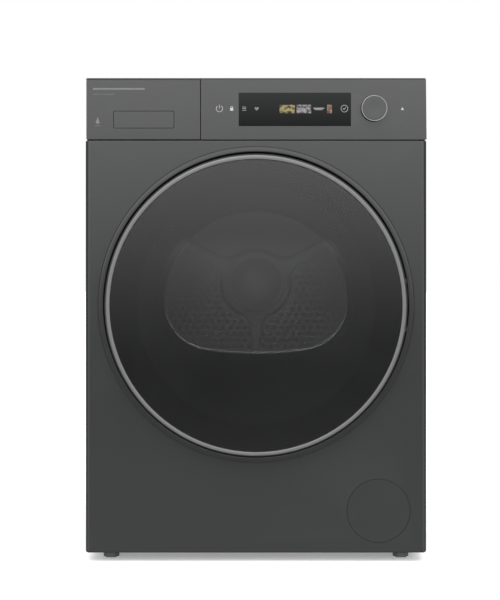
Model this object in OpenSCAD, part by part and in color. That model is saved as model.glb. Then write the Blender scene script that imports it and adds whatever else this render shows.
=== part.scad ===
// Front-loading heat-pump clothes dryer, built up from its separate pieces.
// X runs across the front to the right, Y from the front to the back, Z up from the floor.

/* [Cabinet] */
// Width across the side panels
cabinet_w = 600; // [596:1:604]
// Height of the worktop above the floor
cabinet_h = 850; // [848:1:860]
// Depth from the door's face to the rear duct cover
overall_d = 645; // [642:1:655]
// Thickness of the sheet metal
sheet = 1.2; // [1:0.1:1.5]
// Height of the front panel's lower edge above the floor
skirt_z = 16; // [14:1:18]
// Height of the seam between the front panel and the control fascia
fascia_z = 741.8; // [741:0.1:742.5]

/* [Door] */
// Radius of the door's trim ring
door_r = 265; // [262:0.5:266]
// Radius of the door glass
glass_r = 254.5; // [252:0.5:255]
// How far the door stands proud of the front panel
door_proud = 24.5; // [24:0.5:25]
// Radius of the round recess that the door closes into
recess_r = 277.5; // [276:0.5:278]
// Height of the door's and the drum's centre above the floor
axis_z = 452; // [450:1:453]

/* [Drum] */
// Outer radius of the drum
drum_r = 283; // [280:0.5:283]
// Number of lifters and of ribs on the drum's back
lifter_count = 3; // [3:1:4]
// Radius of the drum's two front support rollers
roller_r = 30; // [28:1:32]

/* [Controls] */
// Distance of the drawer's seam from the cabinet's middle
seam_x = -97.5; // [-99:0.5:-96]
// Distance of the dial from the cabinet's middle
knob_x = 207; // [200:1:215]
// Radius of the dial
knob_r = 22.6; // [20:0.2:24]

/* [Feet] */
// Distance of each foot from the cabinet's middle
foot_x = 258; // [250:1:262]
// Radius of a foot's hexagonal pad across its corners
foot_r = 14; // [12:0.5:16]

/* [Hidden] */

$fn = 96;
half_w = cabinet_w / 2;
duct_proud = 20.5;
front_y = door_proud - overall_d / 2;     // flat face of the front panel
rear_y = overall_d / 2 - duct_proud;      // outer face of the rear panel
bend_r = 8;                               // bend along the front panel's edges
pan_d = 24;                               // depth of the front panel's returns
side_y = front_y + pan_d + 1;             // front edge of the side panels
skirt_top_z = cabinet_h - 24;             // lower edge of the worktop's skirts
side_top = skirt_top_z - 0.3;             // top edge of the side and rear panels
seam = 1;                                 // visible gap between neighbouring panels
fascia_y = front_y - 1.5;                 // face of the fascia and the drawer front
fascia_top = cabinet_h - 2.6;

// The door's recess, measured back from the front panel's face
recess_d = 30;
recess_wall = recess_r - 9;
collar_d = 0.8;                           // the flat collar lies this far behind the face
groove_d = 2.2;                           // depth of the groove between the face and the collar
// The loading port: a round arch over a flat, slightly bowed sill
port_r = 171;
port_corner = 95;
sill_drop = 97.3;
sill_bow = 650;

hinge_x = 260;
hinge_y = front_y - 8;
hinge_h = 46;
hook_x = -240;

drum_t = 1.5;
drum_front = front_y + 113;
drum_rear = rear_y - 36;
back_y = rear_y - 60;                     // perforated face of the drum's back
shaft_r = 10;

roller_turn = 35;                         // angle of each roller from straight below the drum
roller_gap = 0.4;
roller_x = (drum_r + roller_gap + roller_r) * sin(roller_turn);
roller_z = axis_z - (drum_r + roller_gap + roller_r) * cos(roller_turn);
roller_y0 = front_y + 130;
roller_w = 20;

motor_x = 200;
motor_z = 120;
fan_duct_r = 58;                          // outer radius of the fan's outlet
pulley_r = 9;
belt_y = -62;
belt_w = 12;
belt_t = 2.7;
belt_gap = 0.5;
idler_r = 20;

tank_x0 = -half_w + 2;
tank_x1 = seam_x - seam / 2;
tank_d = 402;
flap_x0 = -250.2;
flap_x1 = -144;
flap_z0 = 762.1;
flap_z1 = 792.1;
pocket_d = 34;

window_x0 = -30.4;
window_x1 = 166.8;
window_z0 = 765.6;
window_z1 = 824.2;
knob_z = 796.5;

bracket_x = 280;
bracket_z = 130;
bracket_hole_r = 2.5;

filter_x = 100;
seal_y = front_y + 104;                   // front face of the drum's front seal
filter_h = 145;
filter_y = front_y + 80;
filter_t = 20;

access_x = 215.3;
access_z = 90;
access_r = 56;
access_pin_z = access_z - access_r - 4;
access_pin_y = front_y + 2.6;

// Heat pump: compressor, and the two finned blocks in their chamber
comp_x = -190;
comp_y = 190;
fins_x0 = -270;
fins_x1 = 0;
fin_count = 28;
tube_in = 20;
tube_z = [55, 85, 115];
evap_y = [-236, -150];
cond_y = [-130, 40];

idler_pivot = [70, 60];
idler_y = belt_y + belt_w + 4;

foot_y = front_y + 44;
foot_rear_y = rear_y - 44;
boss_top = 62;

// ---------- shared shapes ----------

function arc(cx, cy, r, from, to, steps) =
    [for (i = [0:steps]) let (a = from + (to - from) * i / steps) [cx + r * cos(a), cy + r * sin(a)]];

// Outline of the loading port grown by d, seen from the front about the drum's axis
function port_points(d) =
    let (rise = sill_bow - sill_drop,
        reach = port_r - port_corner,
        far = sill_bow - port_corner,
        cz = (pow(rise, 2) + pow(reach, 2) - pow(far, 2)) / (2 * rise),
        cx = sqrt(pow(reach, 2) - pow(cz, 2)),
        join = atan2(cz, cx),
        fall = atan2(rise - cz, cx))
    concat(arc(0, 0, port_r + d, join, 180 - join, 30),
        arc(-cx, cz, port_corner + d, 180 - join, 180 + fall, 9),
        arc(0, rise, sill_bow + d, 180 + fall, 360 - fall, 6),
        arc(cx, cz, port_corner + d, 360 - fall, 360 + join, 9));

module rounded(x0, y0, x1, y1, r) {
    polygon(concat(arc(x0 + r, y0 + r, r, 180, 270, 5), arc(x1 - r, y0 + r, r, 270, 360, 5),
        arc(x1 - r, y1 - r, r, 0, 90, 5), arc(x0 + r, y1 - r, r, 90, 180, 5)));
}

module block(x0, x1, y0, y1, z0, z1) {
    translate([x0, y0, z0]) cube([x1 - x0, y1 - y0, z1 - z0]);
}

module extrude_y(y0, y1) {
    translate([0, y1, 0]) rotate([90, 0, 0]) linear_extrude(y1 - y0) children();
}

module extrude_x(x0, x1) {
    translate([x0, 0, 0]) rotate([90, 0, 90]) linear_extrude(x1 - x0) children();
}

module rod_y(r, y0, y1, x = 0, z = axis_z) {
    translate([x, y0, z]) rotate([-90, 0, 0]) cylinder(r = r, h = y1 - y0);
}

module rod_x(r, x0, x1, y, z) {
    translate([x0, y, z]) rotate([0, 90, 0]) cylinder(r = r, h = x1 - x0);
}

module ring_y(outer, inner, y0, y1, x = 0, z = axis_z) {
    difference() {
        rod_y(outer, y0, y1, x, z);
        rod_y(inner, y0 - 1, y1 + 1, x, z);
    }
}

// A profile of [radius, distance behind the front panel's face] turned about the drum's axis
module turned(profile, x = 0, y = front_y, z = axis_z) {
    translate([x, y, z]) rotate([-90, 0, 0]) rotate_extrude() polygon(profile);
}

module port(d, u0, u1) {
    extrude_y(front_y + u0, front_y + u1) translate([0, axis_z]) polygon(port_points(d));
}

module around_axis(count, start = 0) {
    for (i = [0:count - 1]) {
        translate([0, 0, axis_z]) rotate([0, -start - i * 360 / count, 0])
            translate([0, 0, -axis_z]) children();
    }
}

// ---------- cabinet ----------

module foot_spots() {
    for (sx = [-1, 1], y = [foot_y, foot_rear_y]) translate([sx * foot_x, y, 0]) children();
}

// Moulded floor pan with a rim, chamber walls and the bosses that the feet screw into
module base_tray() color("dimgray") {
    wall = 3;
    x1 = half_w - 13;
    y0 = front_y + 14;
    y1 = rear_y - 9;
    rim_z = 100;
    difference() {
        union() {
            difference() {
                block(-x1, x1, y0, y1, 22, rim_z);
                block(-x1 + wall, x1 - wall, y0 + wall, y1 - wall, 26, rim_z + 1);
            }
            block(26, 29, y0 + 1, 60, 25, rim_z - 4);
            block(-x1 + 1, 100, 57, 60, 25, rim_z - 4);
            block(idler_pivot[0] - 9, idler_pivot[0] + 9, idler_y + 5, idler_y + 13, 25, idler_pivot[1] + 10);
            rod_y(5, idler_y - 2, idler_y + 6, idler_pivot[0], idler_pivot[1]);
            foot_spots() cylinder(r = 12, h = boss_top);
            foot_spots() translate([0, 0, 15]) cylinder(r1 = 15, r2 = 18, h = 7.5);
        }
        foot_spots() translate([0, 0, -1]) cylinder(r = 4.05, h = boss_top + 2);
        foot_spots() translate([0, 0, -1]) cylinder(r = 20, h = 16);
        block(-112, 112, y0 - 1, y0 + wall + 1, 40, 90);
        translate([access_x, 0, access_z]) rotate([-90, 0, 0])
            translate([0, 0, y0 - 1]) cylinder(r = 62, h = wall + 2);
        rod_y(fan_duct_r + 1, y1 - wall - 1, y1 + 1, motor_x, motor_z);
    }
}

module side_panel(side) color("#3b3d3d") {
    lip = 12;
    mirror([side < 0 ? 1 : 0, 0, 0]) difference() {
        block(half_w - 0.5 - lip, half_w - 0.5, side_y, rear_y - sheet - 0.4, 24, side_top);
        block(half_w - lip - 2, half_w - 0.5 - sheet, side_y + sheet, rear_y - 2 * sheet - 0.4,
            24 + sheet, side_top - sheet);
        block(half_w - lip - 2, half_w - 3, side_y + sheet, rear_y - 2 * sheet - 0.4, 20, 26);
    }
}

module rear_panel() color("#8a8d8e") {
    difference() {
        union() {
            extrude_y(rear_y - sheet, rear_y) rounded(-half_w + 1, 20, half_w - 1, side_top, 4);
            // pressed stiffening frame round the duct opening
            difference() {
                ring_y(236, 232, rear_y, rear_y + 1);
                extrude_y(rear_y - 1, rear_y + 2) duct_outline(1);
            }
        }
        rod_y(214, rear_y - 10, rear_y + 10);
        rod_y(62, rear_y - 10, rear_y + 10, motor_x, motor_z);
        for (row = [0:9], col = [0:2])
            block(-262 + col * 46, -224 + col * 46, rear_y - 3, rear_y + 3, 60 + row * 11, 65 + row * 11);
        rod_y(8.4, rear_y - 3, rear_y + 3, -250, 760);
        rod_y(9.1, rear_y - 3, rear_y + 3, 250, 760);
        for (sx = [-1, 1]) rod_y(bracket_hole_r, rear_y - 3, rear_y + 3, sx * bracket_x, bracket_z);
    }
}

// Worktop: a thin plate with a front nose and skirts that hide the cabinet's upper edge
module top_panel() color("#414343") {
    y0 = fascia_y + 0.5;
    y1 = rear_y + 4;
    inner_y = side_y;
    difference() {
        extrude_y(y0, y1) polygon(concat(
            [[-half_w + 1.3, skirt_top_z], [half_w - 1.3, skirt_top_z]],
            arc(half_w - 4, cabinet_h - 2.7, 2.7, 0, 90, 4),
            arc(-half_w + 4, cabinet_h - 2.7, 2.7, 90, 180, 4)));
        block(-half_w - 1, half_w + 1, y0 - 1, inner_y, 0, fascia_top + 0.3);
        block(-half_w + 4, half_w - 4, inner_y - 1, y1 - 2.5, 0, cabinet_h - 2.6);
    }
}

module pan_solid(t) {
    intersection() {
        translate([0, 0, skirt_z - 1]) linear_extrude(fascia_z) polygon(concat(
            [[half_w - t, front_y + pan_d], [-half_w + t, front_y + pan_d]],
            arc(-half_w + bend_r, front_y + bend_r, bend_r - t, 180, 270, 6),
            arc(half_w - bend_r, front_y + bend_r, bend_r - t, 270, 360, 6)));
        extrude_x(-half_w - 1, half_w + 1) polygon(concat(
            [[front_y + pan_d, skirt_z + t], [front_y + pan_d, fascia_z - seam - t]],
            arc(front_y + 6, fascia_z - seam - 6, 6 - t, 90, 180, 5),
            arc(front_y + 6, skirt_z + 6, 6 - t, 180, 270, 5)));
    }
}

module front_panel() color("#454747") {
    difference() {
        union() {
            difference() {
                pan_solid(0);
                translate([0, 0.001, 0]) intersection() {
                    pan_solid(sheet);
                    block(-half_w, half_w, front_y + sheet, 0, 0, cabinet_h);
                }
                block(-half_w + bend_r, half_w - bend_r, front_y + sheet, 0, fascia_z - 8, fascia_z);
                rod_y(recess_r + 1, front_y - 1, front_y + 60);
            }
            // fine groove, narrow flat collar, straight wall and floor
            turned([[recess_r + 0.5, 0], [recess_r + 1.7, 0], [recess_r + 1.7, groove_d + sheet],
                [recess_r - 1.7, groove_d + sheet], [recess_r - 1.7, collar_d + sheet],
                [recess_wall + sheet, collar_d + sheet], [recess_wall + sheet, recess_d + sheet],
                [0, recess_d + sheet], [0, recess_d], [recess_wall, recess_d], [recess_wall, collar_d],
                [recess_r - 0.5, collar_d], [recess_r - 0.5, groove_d], [recess_r + 0.5, groove_d]]);
        }
        port(16, recess_d - 3, recess_d + 3);
        block(hook_x - 10, hook_x + 10, front_y + 20, front_y + 40, axis_z - 14, axis_z + 16);
        rod_y(access_r, front_y - 1, front_y + 10, access_x, access_z);
    }
}

// Right-hand part of the fascia, with the window, the dial's hole and closed sides
module control_fascia() color("#4b4d4d") {
    t = 3;
    depth = front_y + pan_d;
    x0 = seam_x + seam / 2;
    difference() {
        union() {
            difference() {
                extrude_y(fascia_y, depth) polygon([[x0, fascia_z], [half_w - 0.4, fascia_z],
                    [half_w - 1.4, fascia_top], [x0, fascia_top]]);
                extrude_y(fascia_y + t, depth + 1) polygon([[x0 + t, fascia_z + t],
                    [half_w - 3.4, fascia_z + t], [half_w - 4.4, fascia_top - t], [x0 + t, fascia_top - t]]);
            }
            ring_y(knob_r + 4, knob_r + 0.5, fascia_y + t - 1, fascia_y + 12, knob_x, knob_z);
        }
        block(window_x0, window_x1, fascia_y - 1, fascia_y + t + 1, window_z0, window_z1);
        rod_y(knob_r + 0.5, fascia_y - 1, fascia_y + 11, knob_x, knob_z);
    }
}

module display_window() color("#1b1d1d") {
    block(window_x0 + 0.2, window_x1 - 0.2, fascia_y + 0.2, fascia_y + 2.4, window_z0 + 0.2, window_z1 - 0.2);
}

// Printed board with the display module and the dial's encoder
module control_board() color("darkgreen") {
    block(-80, 280, fascia_y + 16, fascia_y + 17.6, 752, 838);
    block(window_x0 + 6, window_x1 - 6, fascia_y + 5, fascia_y + 16.5, window_z0 + 5, window_z1 - 5);
    difference() {
        block(knob_x - 8, knob_x + 8, fascia_y + 11.5, fascia_y + 16.5, knob_z - 8, knob_z + 8);
        rod_y(3.05, fascia_y, fascia_y + 15, knob_x, knob_z);
    }
}

// ---------- water tank drawer ----------

module tank_housing() color("gainsboro") {
    x0 = -half_w + 6;
    x1 = seam_x - 3;
    y0 = front_y + 34;
    y1 = y0 + tank_d + 24;
    difference() {
        block(x0, x1, y0, y1, 743.5, 818);
        block(x0 + 2, x1 - 2, y0 - 1, y1 - 2, 745.7, 819);
    }
}

module tank_front() color("#4b4d4d") {
    t = 3;
    z0 = fascia_z + 0.4;
    z1 = fascia_top - 0.4;
    difference() {
        union() {
            difference() {
                block(tank_x0, tank_x1, fascia_y, front_y + pan_d, z0, z1);
                block(tank_x0 + t, tank_x1 - t, fascia_y + t, front_y + pan_d + 1, z0 + t, z1 - t);
            }
            block(flap_x0 - 4, flap_x1 + 4, fascia_y + 1, fascia_y + pocket_d + 2, flap_z0 - 2, flap_z1 + 2);
        }
        extrude_y(fascia_y - 1, fascia_y + pocket_d) rounded(flap_x0, flap_z0, flap_x1, flap_z1, 3);
        rod_x(1.55, flap_x0 - 2.5, flap_x1 + 2.5, fascia_y + 3.5, flap_z1 - 3.5);
    }
}

module tank_flap() color("#4b4d4d") {
    gap = 0.5;
    extrude_y(fascia_y, fascia_y + 2.2)
        rounded(flap_x0 + gap, flap_z0 + gap, flap_x1 - gap, flap_z1 - gap, 2.5);
    for (x = [flap_x0 + 1, flap_x1 - 7])
        block(x, x + 6, fascia_y + 1, fascia_y + 5, flap_z1 - 5.5, flap_z1 - 1.8);
    rod_x(1.5, flap_x0 - 2, flap_x1 + 2, fascia_y + 3.5, flap_z1 - 3.5);
}

// Closed water container with a filling mouth in its top
module tank_reservoir() color("whitesmoke") {
    y0 = fascia_y + pocket_d + 2.4;
    y1 = y0 + tank_d;
    x0 = tank_x0 + 12;
    x1 = tank_x1 - 8;
    difference() {
        block(x0, x1, y0, y1, 748, 808);
        block(x0 + 2.5, x1 - 2.5, y0 + 2.5, y1 - 2.5, 750.5, 805.5);
        translate([(x0 + x1) / 2, y1 - 60, 800]) cylinder(r = 14, h = 20);
    }
}

// ---------- loading port and drum ----------

// Front drum support: flange, collar, face, port tunnel, lint duct and roller ears in one moulding
module front_bulkhead() color("#8f9395") {
    wall = 3;
    u0 = recess_d + sheet + 0.4;
    difference() {
        union() {
            turned([[238, u0], [284, u0], [284, u0 + wall], [271, u0 + wall], [271, 118], [0, 118],
                [0, 115], [268, 115], [268, u0 + wall], [238, u0 + wall]]);
            port(wall, u0, 130);
            block(-filter_x - 12, filter_x + 12, front_y + 72, seal_y - 0.5, 152, axis_z - sill_drop - 1);
            for (s = [-1, 1]) {
                rod_y(20, front_y + u0, front_y + u0 + 5, s * roller_x, roller_z);
                translate([0, front_y + u0, axis_z]) rotate([0, s * roller_turn, 0])
                    translate([-15, 0, -drum_r - 18]) cube([30, wall, 40]);
            }
        }
        port(0, u0 - 1, 140);
        block(-filter_x - 9, filter_x + 9, front_y + 75, seal_y - wall, 100, axis_z - sill_drop - 9);
        block(-filter_x - 4, filter_x + 4, filter_y - 2, seal_y - wall, 150, axis_z - 60);
        for (s = [-1, 1]) rod_y(5.05, front_y, front_y + 50, s * roller_x, roller_z);
        block(hook_x - 16, hook_x + 16, front_y + 25, front_y + 60, axis_z - 22, axis_z + 24);
    }
}

module port_seal() color("#2a2b2b") {
    difference() {
        union() {
            port(15, recess_d - 3.4, recess_d);
            port(12, recess_d - 3.4, recess_d + sheet + 0.3);
        }
        port(1, recess_d - 5, recess_d + 5);
    }
}

module front_drum_seal() color("beige") {
    ring_y(drum_r - drum_t - 0.3, 271.2, seal_y, seal_y + 13);
}

module rear_bulkhead() color("#8f9395") {
    y1 = rear_y - sheet - 0.4;
    difference() {
        union() {
            turned([[216, 0], [287, 0], [287, 3], [216, 3]], y = y1 - 3);
            ring_y(266.5, 263, y1 - 26, y1 - 2);
            rod_y(26, y1 - 24, y1);
            around_axis(3, 30) block(20, 222, y1 - 12, y1, axis_z - 9, axis_z + 9);
        }
        rod_y(shaft_r + 8.02, y1 - 40, y1 + 5);
    }
}

module rear_drum_seal() color("beige") {
    ring_y(262.8, 245, drum_rear + 2.6, rear_y - sheet - 3.6);
}

module shaft_bearing() color("silver") {
    y1 = rear_y - sheet - 0.4;
    ring_y(shaft_r + 8, shaft_r + 0.05, y1 - 22, y1 - 1);
}

module duct_outline(d) {
    translate([0, axis_z]) circle(r = 228 + d, $fn = 120);
    polygon([[motor_x - 74 - d, 46 - d], [motor_x + 74 + d, 46 - d], [motor_x + 74 + d, 300],
        [226 + d, axis_z], [0, axis_z], [78 - d, 238], [motor_x - 74 - d, 200]]);
}

module rear_duct_cover() color("#9b9ea0") {
    t = 2.2;
    difference() {
        extrude_y(rear_y + 0.1, rear_y + duct_proud) duct_outline(0);
        extrude_y(rear_y, rear_y + duct_proud - t) duct_outline(-t);
    }
}

module drum_shell() color("silver") {
    inner = drum_r - drum_t;
    turned([[inner, 0], [drum_r, 0], [drum_r, 150], [drum_r + 2, 155], [drum_r + 2, 165], [drum_r, 170],
        [drum_r, 290], [drum_r + 2, 295], [drum_r + 2, 305], [drum_r, 310], [drum_r, drum_rear - drum_front],
        [inner, drum_rear - drum_front]], y = drum_front);
}

// Dished back with a domed hub and radial ribs
module drum_back() color("silver") {
    t = 1.4;
    rim = drum_r - drum_t - 0.1;
    difference() {
        union() {
            turned([[0, -20], [20, -19], [36, -14.5], [48, -6], [53, 0], [226, 0], [248, 20], [rim, 20],
                [rim, 24], [244, 20 + t], [224, t], [50, t], [44, -4], [34, -11.5], [18, -16.5], [0, -17.5]],
                y = back_y);
            around_axis(lifter_count, 270) block(50, 222, back_y - 7, back_y + 0.5, axis_z - 12, axis_z + 12);
        }
        around_axis(lifter_count, 270) block(52, 220, back_y - 5.6, back_y + 4, axis_z - 10.5, axis_z + 10.5);
    }
}

module drum_lifters() color("#c9cbcc") {
    intersection() {
        around_axis(lifter_count, 90) extrude_y(drum_front + 40, back_y - 6)
            polygon(concat([[drum_r + 4, axis_z - 42], [drum_r + 4, axis_z + 42]],
                [for (p = arc(0, 0, 1, 90, -90, 8)) [drum_r - 34 - 14 * p[0], axis_z + 15 * p[1]]]));
        rod_y(drum_r - drum_t - 0.1, drum_front, back_y);
    }
}

module drum_shaft() color("gray") {
    rod_y(shaft_r, back_y + 6, rear_y - 4);
    rod_y(62, back_y + 1.8, back_y + 8);
}

// Belt path round the drum and the motor pulley, at the given distance outside both
module belt_outline(d) {
    r1 = drum_r + d;
    r2 = pulley_r + d;
    drop = motor_z - axis_z;
    heading = atan2(drop, motor_x);
    spread = acos((r1 - r2) / norm([motor_x, drop]));
    polygon(concat(arc(0, axis_z, r1, heading + spread, heading + 360 - spread, 100),
        arc(motor_x, motor_z, r2, heading - spread, heading + spread, 10)));
}

module drive_belt() color("#1d1d1d") {
    extrude_y(belt_y, belt_y + belt_w) difference() {
        belt_outline(belt_gap + belt_t);
        belt_outline(belt_gap);
    }
}

module roller(side) color("#3a3a3a") {
    difference() {
        rod_y(roller_r, roller_y0, roller_y0 + roller_w, side * roller_x, roller_z);
        rod_y(5.05, roller_y0 - 1, roller_y0 + roller_w + 1, side * roller_x, roller_z);
        for (y = [roller_y0 - 1, roller_y0 + roller_w - 4])
            ring_y(roller_r - 6, 10, y, y + 5, side * roller_x, roller_z);
    }
}

module roller_axles() color("silver") {
    for (s = [-1, 1]) {
        rod_y(5, front_y + 33, roller_y0 + roller_w + 5, s * roller_x, roller_z);
        rod_y(9, front_y + 37, roller_y0 - 1, s * roller_x, roller_z);
    }
}

// ---------- drive and heat pump ----------

module motor_housing() color("gray") {
    difference() {
        union() {
            rod_y(50, -30, 100, motor_x, motor_z);
            block(motor_x - 38, motor_x + 38, -20, 90, 26.2, motor_z - 30);
        }
        rod_y(6.05, -40, 110, motor_x, motor_z);
        rod_y(42, -31, -26, motor_x, motor_z);
    }
}

module motor_shaft() color("silver") {
    rod_y(6, belt_y - 6, 200, motor_x, motor_z);
    rod_y(pulley_r, belt_y - 1, belt_y + belt_w + 1, motor_x, motor_z);
    for (y = [belt_y - 3.5, belt_y + belt_w + 1.5]) rod_y(pulley_r + 4, y, y + 2, motor_x, motor_z);
}

module fan_wheel() color("#d0d2d4") {
    difference() {
        union() {
            rod_y(14, 160, 196, motor_x, motor_z);
            rod_y(68, 194, 196, motor_x, motor_z);
            ring_y(68, 50, 158, 160.5, motor_x, motor_z);
            for (i = [0:17]) translate([motor_x, 0, motor_z]) rotate([0, i * 20, 0])
                translate([50, 159, -1]) rotate([0, 25, 0]) cube([17, 36, 1.6]);
        }
        rod_y(6.02, 150, 210, motor_x, motor_z);
    }
}

module fan_housing() color("#b9bcbe") {
    difference() {
        union() {
            rod_y(82, 150, 206, motor_x, motor_z);
            rod_y(fan_duct_r, 200, rear_y - 2, motor_x, motor_z);
            block(motor_x - 30, motor_x + 30, 155, 200, 26.2, motor_z);
        }
        rod_y(79, 152.5, 203, motor_x, motor_z);
        rod_y(46, 148, 160, motor_x, motor_z);
        rod_y(fan_duct_r - 3, 200, rear_y + 2, motor_x, motor_z);
    }
}

// Sealed compressor on a base plate with three rubber feet
module compressor() color("#2c2c2c") translate([comp_x, comp_y, 0]) {
    translate([0, 0, 44]) rotate_extrude($fn = 64) polygon(concat([[0, 0], [50, 0]],
        arc(48, 8, 8, -70, 0, 3), arc(26, 118, 30, 0, 60, 4), [[12, 151], [0, 153]]));
    translate([0, 0, 44]) cylinder(r = 78, h = 4);
    for (a = [0, 120, 240]) rotate([0, 0, a]) translate([66, 0, 26.2]) cylinder(r = 11, h = 18);
}

// Finned heat exchanger between two end plates, with its tubes' ends at both sides
module fin_block(y0, y1) {
    pitch = (fins_x1 - fins_x0 - 8) / fin_count;
    for (i = [0:fin_count]) block(fins_x0 + 4 + i * pitch, fins_x0 + 4.8 + i * pitch, y0, y1, 32, 138);
    for (x = [fins_x0, fins_x1 - 2]) block(x, x + 2, y0 - 2, y1 + 2, 28, 140);
    for (y = [y0 + tube_in, y1 - tube_in], z = tube_z) rod_x(4, fins_x0 - 6, fins_x1 + 2, y, z);
}

module evaporator() color("lightsteelblue") fin_block(evap_y[0], evap_y[1]);

module condenser() color("burlywood") fin_block(cond_y[0], cond_y[1]);

// Lid over the heat exchangers, with skirts that drop into the base
module heat_pump_cover() color("#b9bcbe") {
    difference() {
        block(-283, 25, front_y + 20, 54, 101, 148);
        block(-280, 22, front_y + 23, 51, 100, 145);
        // the lint filter's chute opens into the chamber here
        block(-filter_x - 14, 40, front_y + 70, front_y + 114, 140, 150);
        for (z = [tube_z[2], tube_z[2] + 15]) rod_y(6, 40, 60, fins_x1 + 10, z);
    }
}

// Copper pipe along axis-parallel runs, with a brazed elbow at each turn
module pipe(points, r) {
    for (i = [0:len(points) - 2]) {
        low = [for (k = [0:2]) min(points[i][k], points[i + 1][k])];
        d = points[i + 1] - points[i];
        length = norm(d);
        translate(low) rotate([d[1] == 0 ? 0 : -90, d[0] == 0 ? 0 : 90, 0])
            cylinder(r = r, h = length, $fn = 24);
    }
    for (i = [1:len(points) - 2]) translate(points[i]) sphere(r = r + 1, $fn = 24);
}

module refrigerant_pipes() color("peru") {
    x = fins_x1 + 10;
    wall = 56.2;
    pipe([[fins_x1 + 2.2, cond_y[1] - tube_in, tube_z[2]], [x, cond_y[1] - tube_in, tube_z[2]],
        [x, comp_y, tube_z[2]], [comp_x + wall, comp_y, tube_z[2]]], 4);
    pipe([[fins_x1 + 2.2, evap_y[0] + tube_in, tube_z[2]], [x, evap_y[0] + tube_in, tube_z[2]],
        [x, evap_y[0] + tube_in, tube_z[2] + 15], [x, comp_y - 75, tube_z[2] + 15],
        [comp_x, comp_y - 75, tube_z[2] + 15], [comp_x, comp_y - wall, tube_z[2] + 15]], 4);
    pipe([[fins_x1 + 2.2, cond_y[0] + tube_in, tube_z[0]], [x, cond_y[0] + tube_in, tube_z[0]],
        [x, evap_y[1] - tube_in, tube_z[0]], [fins_x1 + 2.2, evap_y[1] - tube_in, tube_z[0]]], 4);
}

module condensate_pump() color("#3f5f7f") {
    block(30, 92, 190, 250, 26.2, 60);
    translate([61, 220, 60]) cylinder(r = 22, h = 34);
    rod_x(5, 4, 31, 220, 45);
}

module drain_outlet() color("black") {
    difference() {
        union() {
            rod_y(8, rear_y - 20, rear_y + 18, -250, 760);
            rod_y(13, rear_y + 0.2, rear_y + 2, -250, 760);
        }
        rod_y(5.5, rear_y - 21, rear_y + 19, -250, 760);
    }
}

module cord_gland() color("black") {
    difference() {
        union() {
            rod_y(8.9, rear_y - 8, rear_y + 1, 250, 760);
            rod_y(13, rear_y + 0.2, rear_y + 8, 250, 760);
        }
        rod_y(4.5, rear_y - 9, rear_y + 9, 250, 760);
    }
}

// Screw heads that hold the rear panel and the worktop's back edge
module panel_screws() color("silver") {
    for (x = [-288, 288], z = [40, 230, 420, 610, 790]) rod_y(4.5, rear_y + 0.1, rear_y + 2.8, x, z);
    for (x = [-190, -60, 60, 190]) rod_y(4.5, rear_y + 0.1, rear_y + 2.8, x, 800);
}

// ---------- door furniture ----------

module hinge_bracket() color("gray") {
    difference() {
        union() {
            block(236, 262, front_y + recess_d - 2.8, front_y + recess_d - 0.05,
                axis_z - hinge_h + 1, axis_z + hinge_h - 1);
            for (z = [-hinge_h + 1, hinge_h - 13]) {
                block(257.2, 262.4, hinge_y, front_y + recess_d - 2, axis_z + z, axis_z + z + 12);
                translate([hinge_x, hinge_y, axis_z + z]) cylinder(r = 3.5, h = 12);
            }
        }
        translate([hinge_x, hinge_y, axis_z - 60]) cylinder(r = 2.05, h = 120);
    }
}

module door_hinge_arm() color("silver") {
    translate([hinge_x, hinge_y, axis_z - hinge_h]) cylinder(r = 2, h = 2 * hinge_h);
    translate([hinge_x, hinge_y, axis_z - hinge_h + 13.4]) cylinder(r = 3.5, h = 2 * hinge_h - 26.8);
    block(225, hinge_x, hinge_y - 1.5, hinge_y + 1.5, axis_z - 30, axis_z + 30);
    block(225, 229, hinge_y - 1.5, front_y + 22.8, axis_z - 30, axis_z + 30);
}

module latch_keeper() color("#2f3030") {
    difference() {
        block(hook_x - 14, hook_x + 14, front_y + recess_d + sheet + 0.2, front_y + 56,
            axis_z - 20, axis_z + 22);
        block(hook_x - 10, hook_x + 10, front_y, front_y + 54, axis_z - 8.8, axis_z + 18);
        block(hook_x - 10, hook_x + 10, front_y + 37, front_y + 54, axis_z - 16, axis_z + 18);
    }
}

module latch_hook() color("#2f3030") {
    rod_x(2.5, hook_x - 7, hook_x + 7, front_y + 12, axis_z);
    extrude_x(hook_x - 3, hook_x + 3) polygon([[front_y + 8, axis_z - 4], [front_y + 40, axis_z - 4],
        [front_y + 40, axis_z - 8.2], [front_y + 43, axis_z - 8.2], [front_y + 49, axis_z - 1],
        [front_y + 48, axis_z + 4], [front_y + 8, axis_z + 4]]);
}

module moisture_sensor() color("silver") {
    for (dz = [0, 14]) block(-40, 40, front_y + 118.2, front_y + 119.6, axis_z - 136 + dz, axis_z - 130 + dz);
}

// Ring behind the round cover, with two lugs that hold the cover's pin
module access_frame() color("#2f3030") {
    difference() {
        union() {
            turned([[access_r - 6, 2.6], [access_r + 0.2, 2.6], [access_r + 0.2, 1.3], [access_r + 5, 1.3],
                [access_r + 5, 4.4], [access_r - 6, 4.4]], access_x, front_y, access_z);
            for (s = [-1, 1]) block(access_x + s * 12 - 2, access_x + s * 12 + 2, front_y + sheet + 0.1,
                front_y + 5.4, access_pin_z - 3, access_pin_z + 7);
        }
        rod_x(1.35, access_x - 13.5, access_x + 13.5, access_pin_y, access_pin_z);
        block(access_x - 9, access_x + 9, front_y, front_y + 14, access_pin_z - 4, access_pin_z + 14);
    }
}

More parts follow.
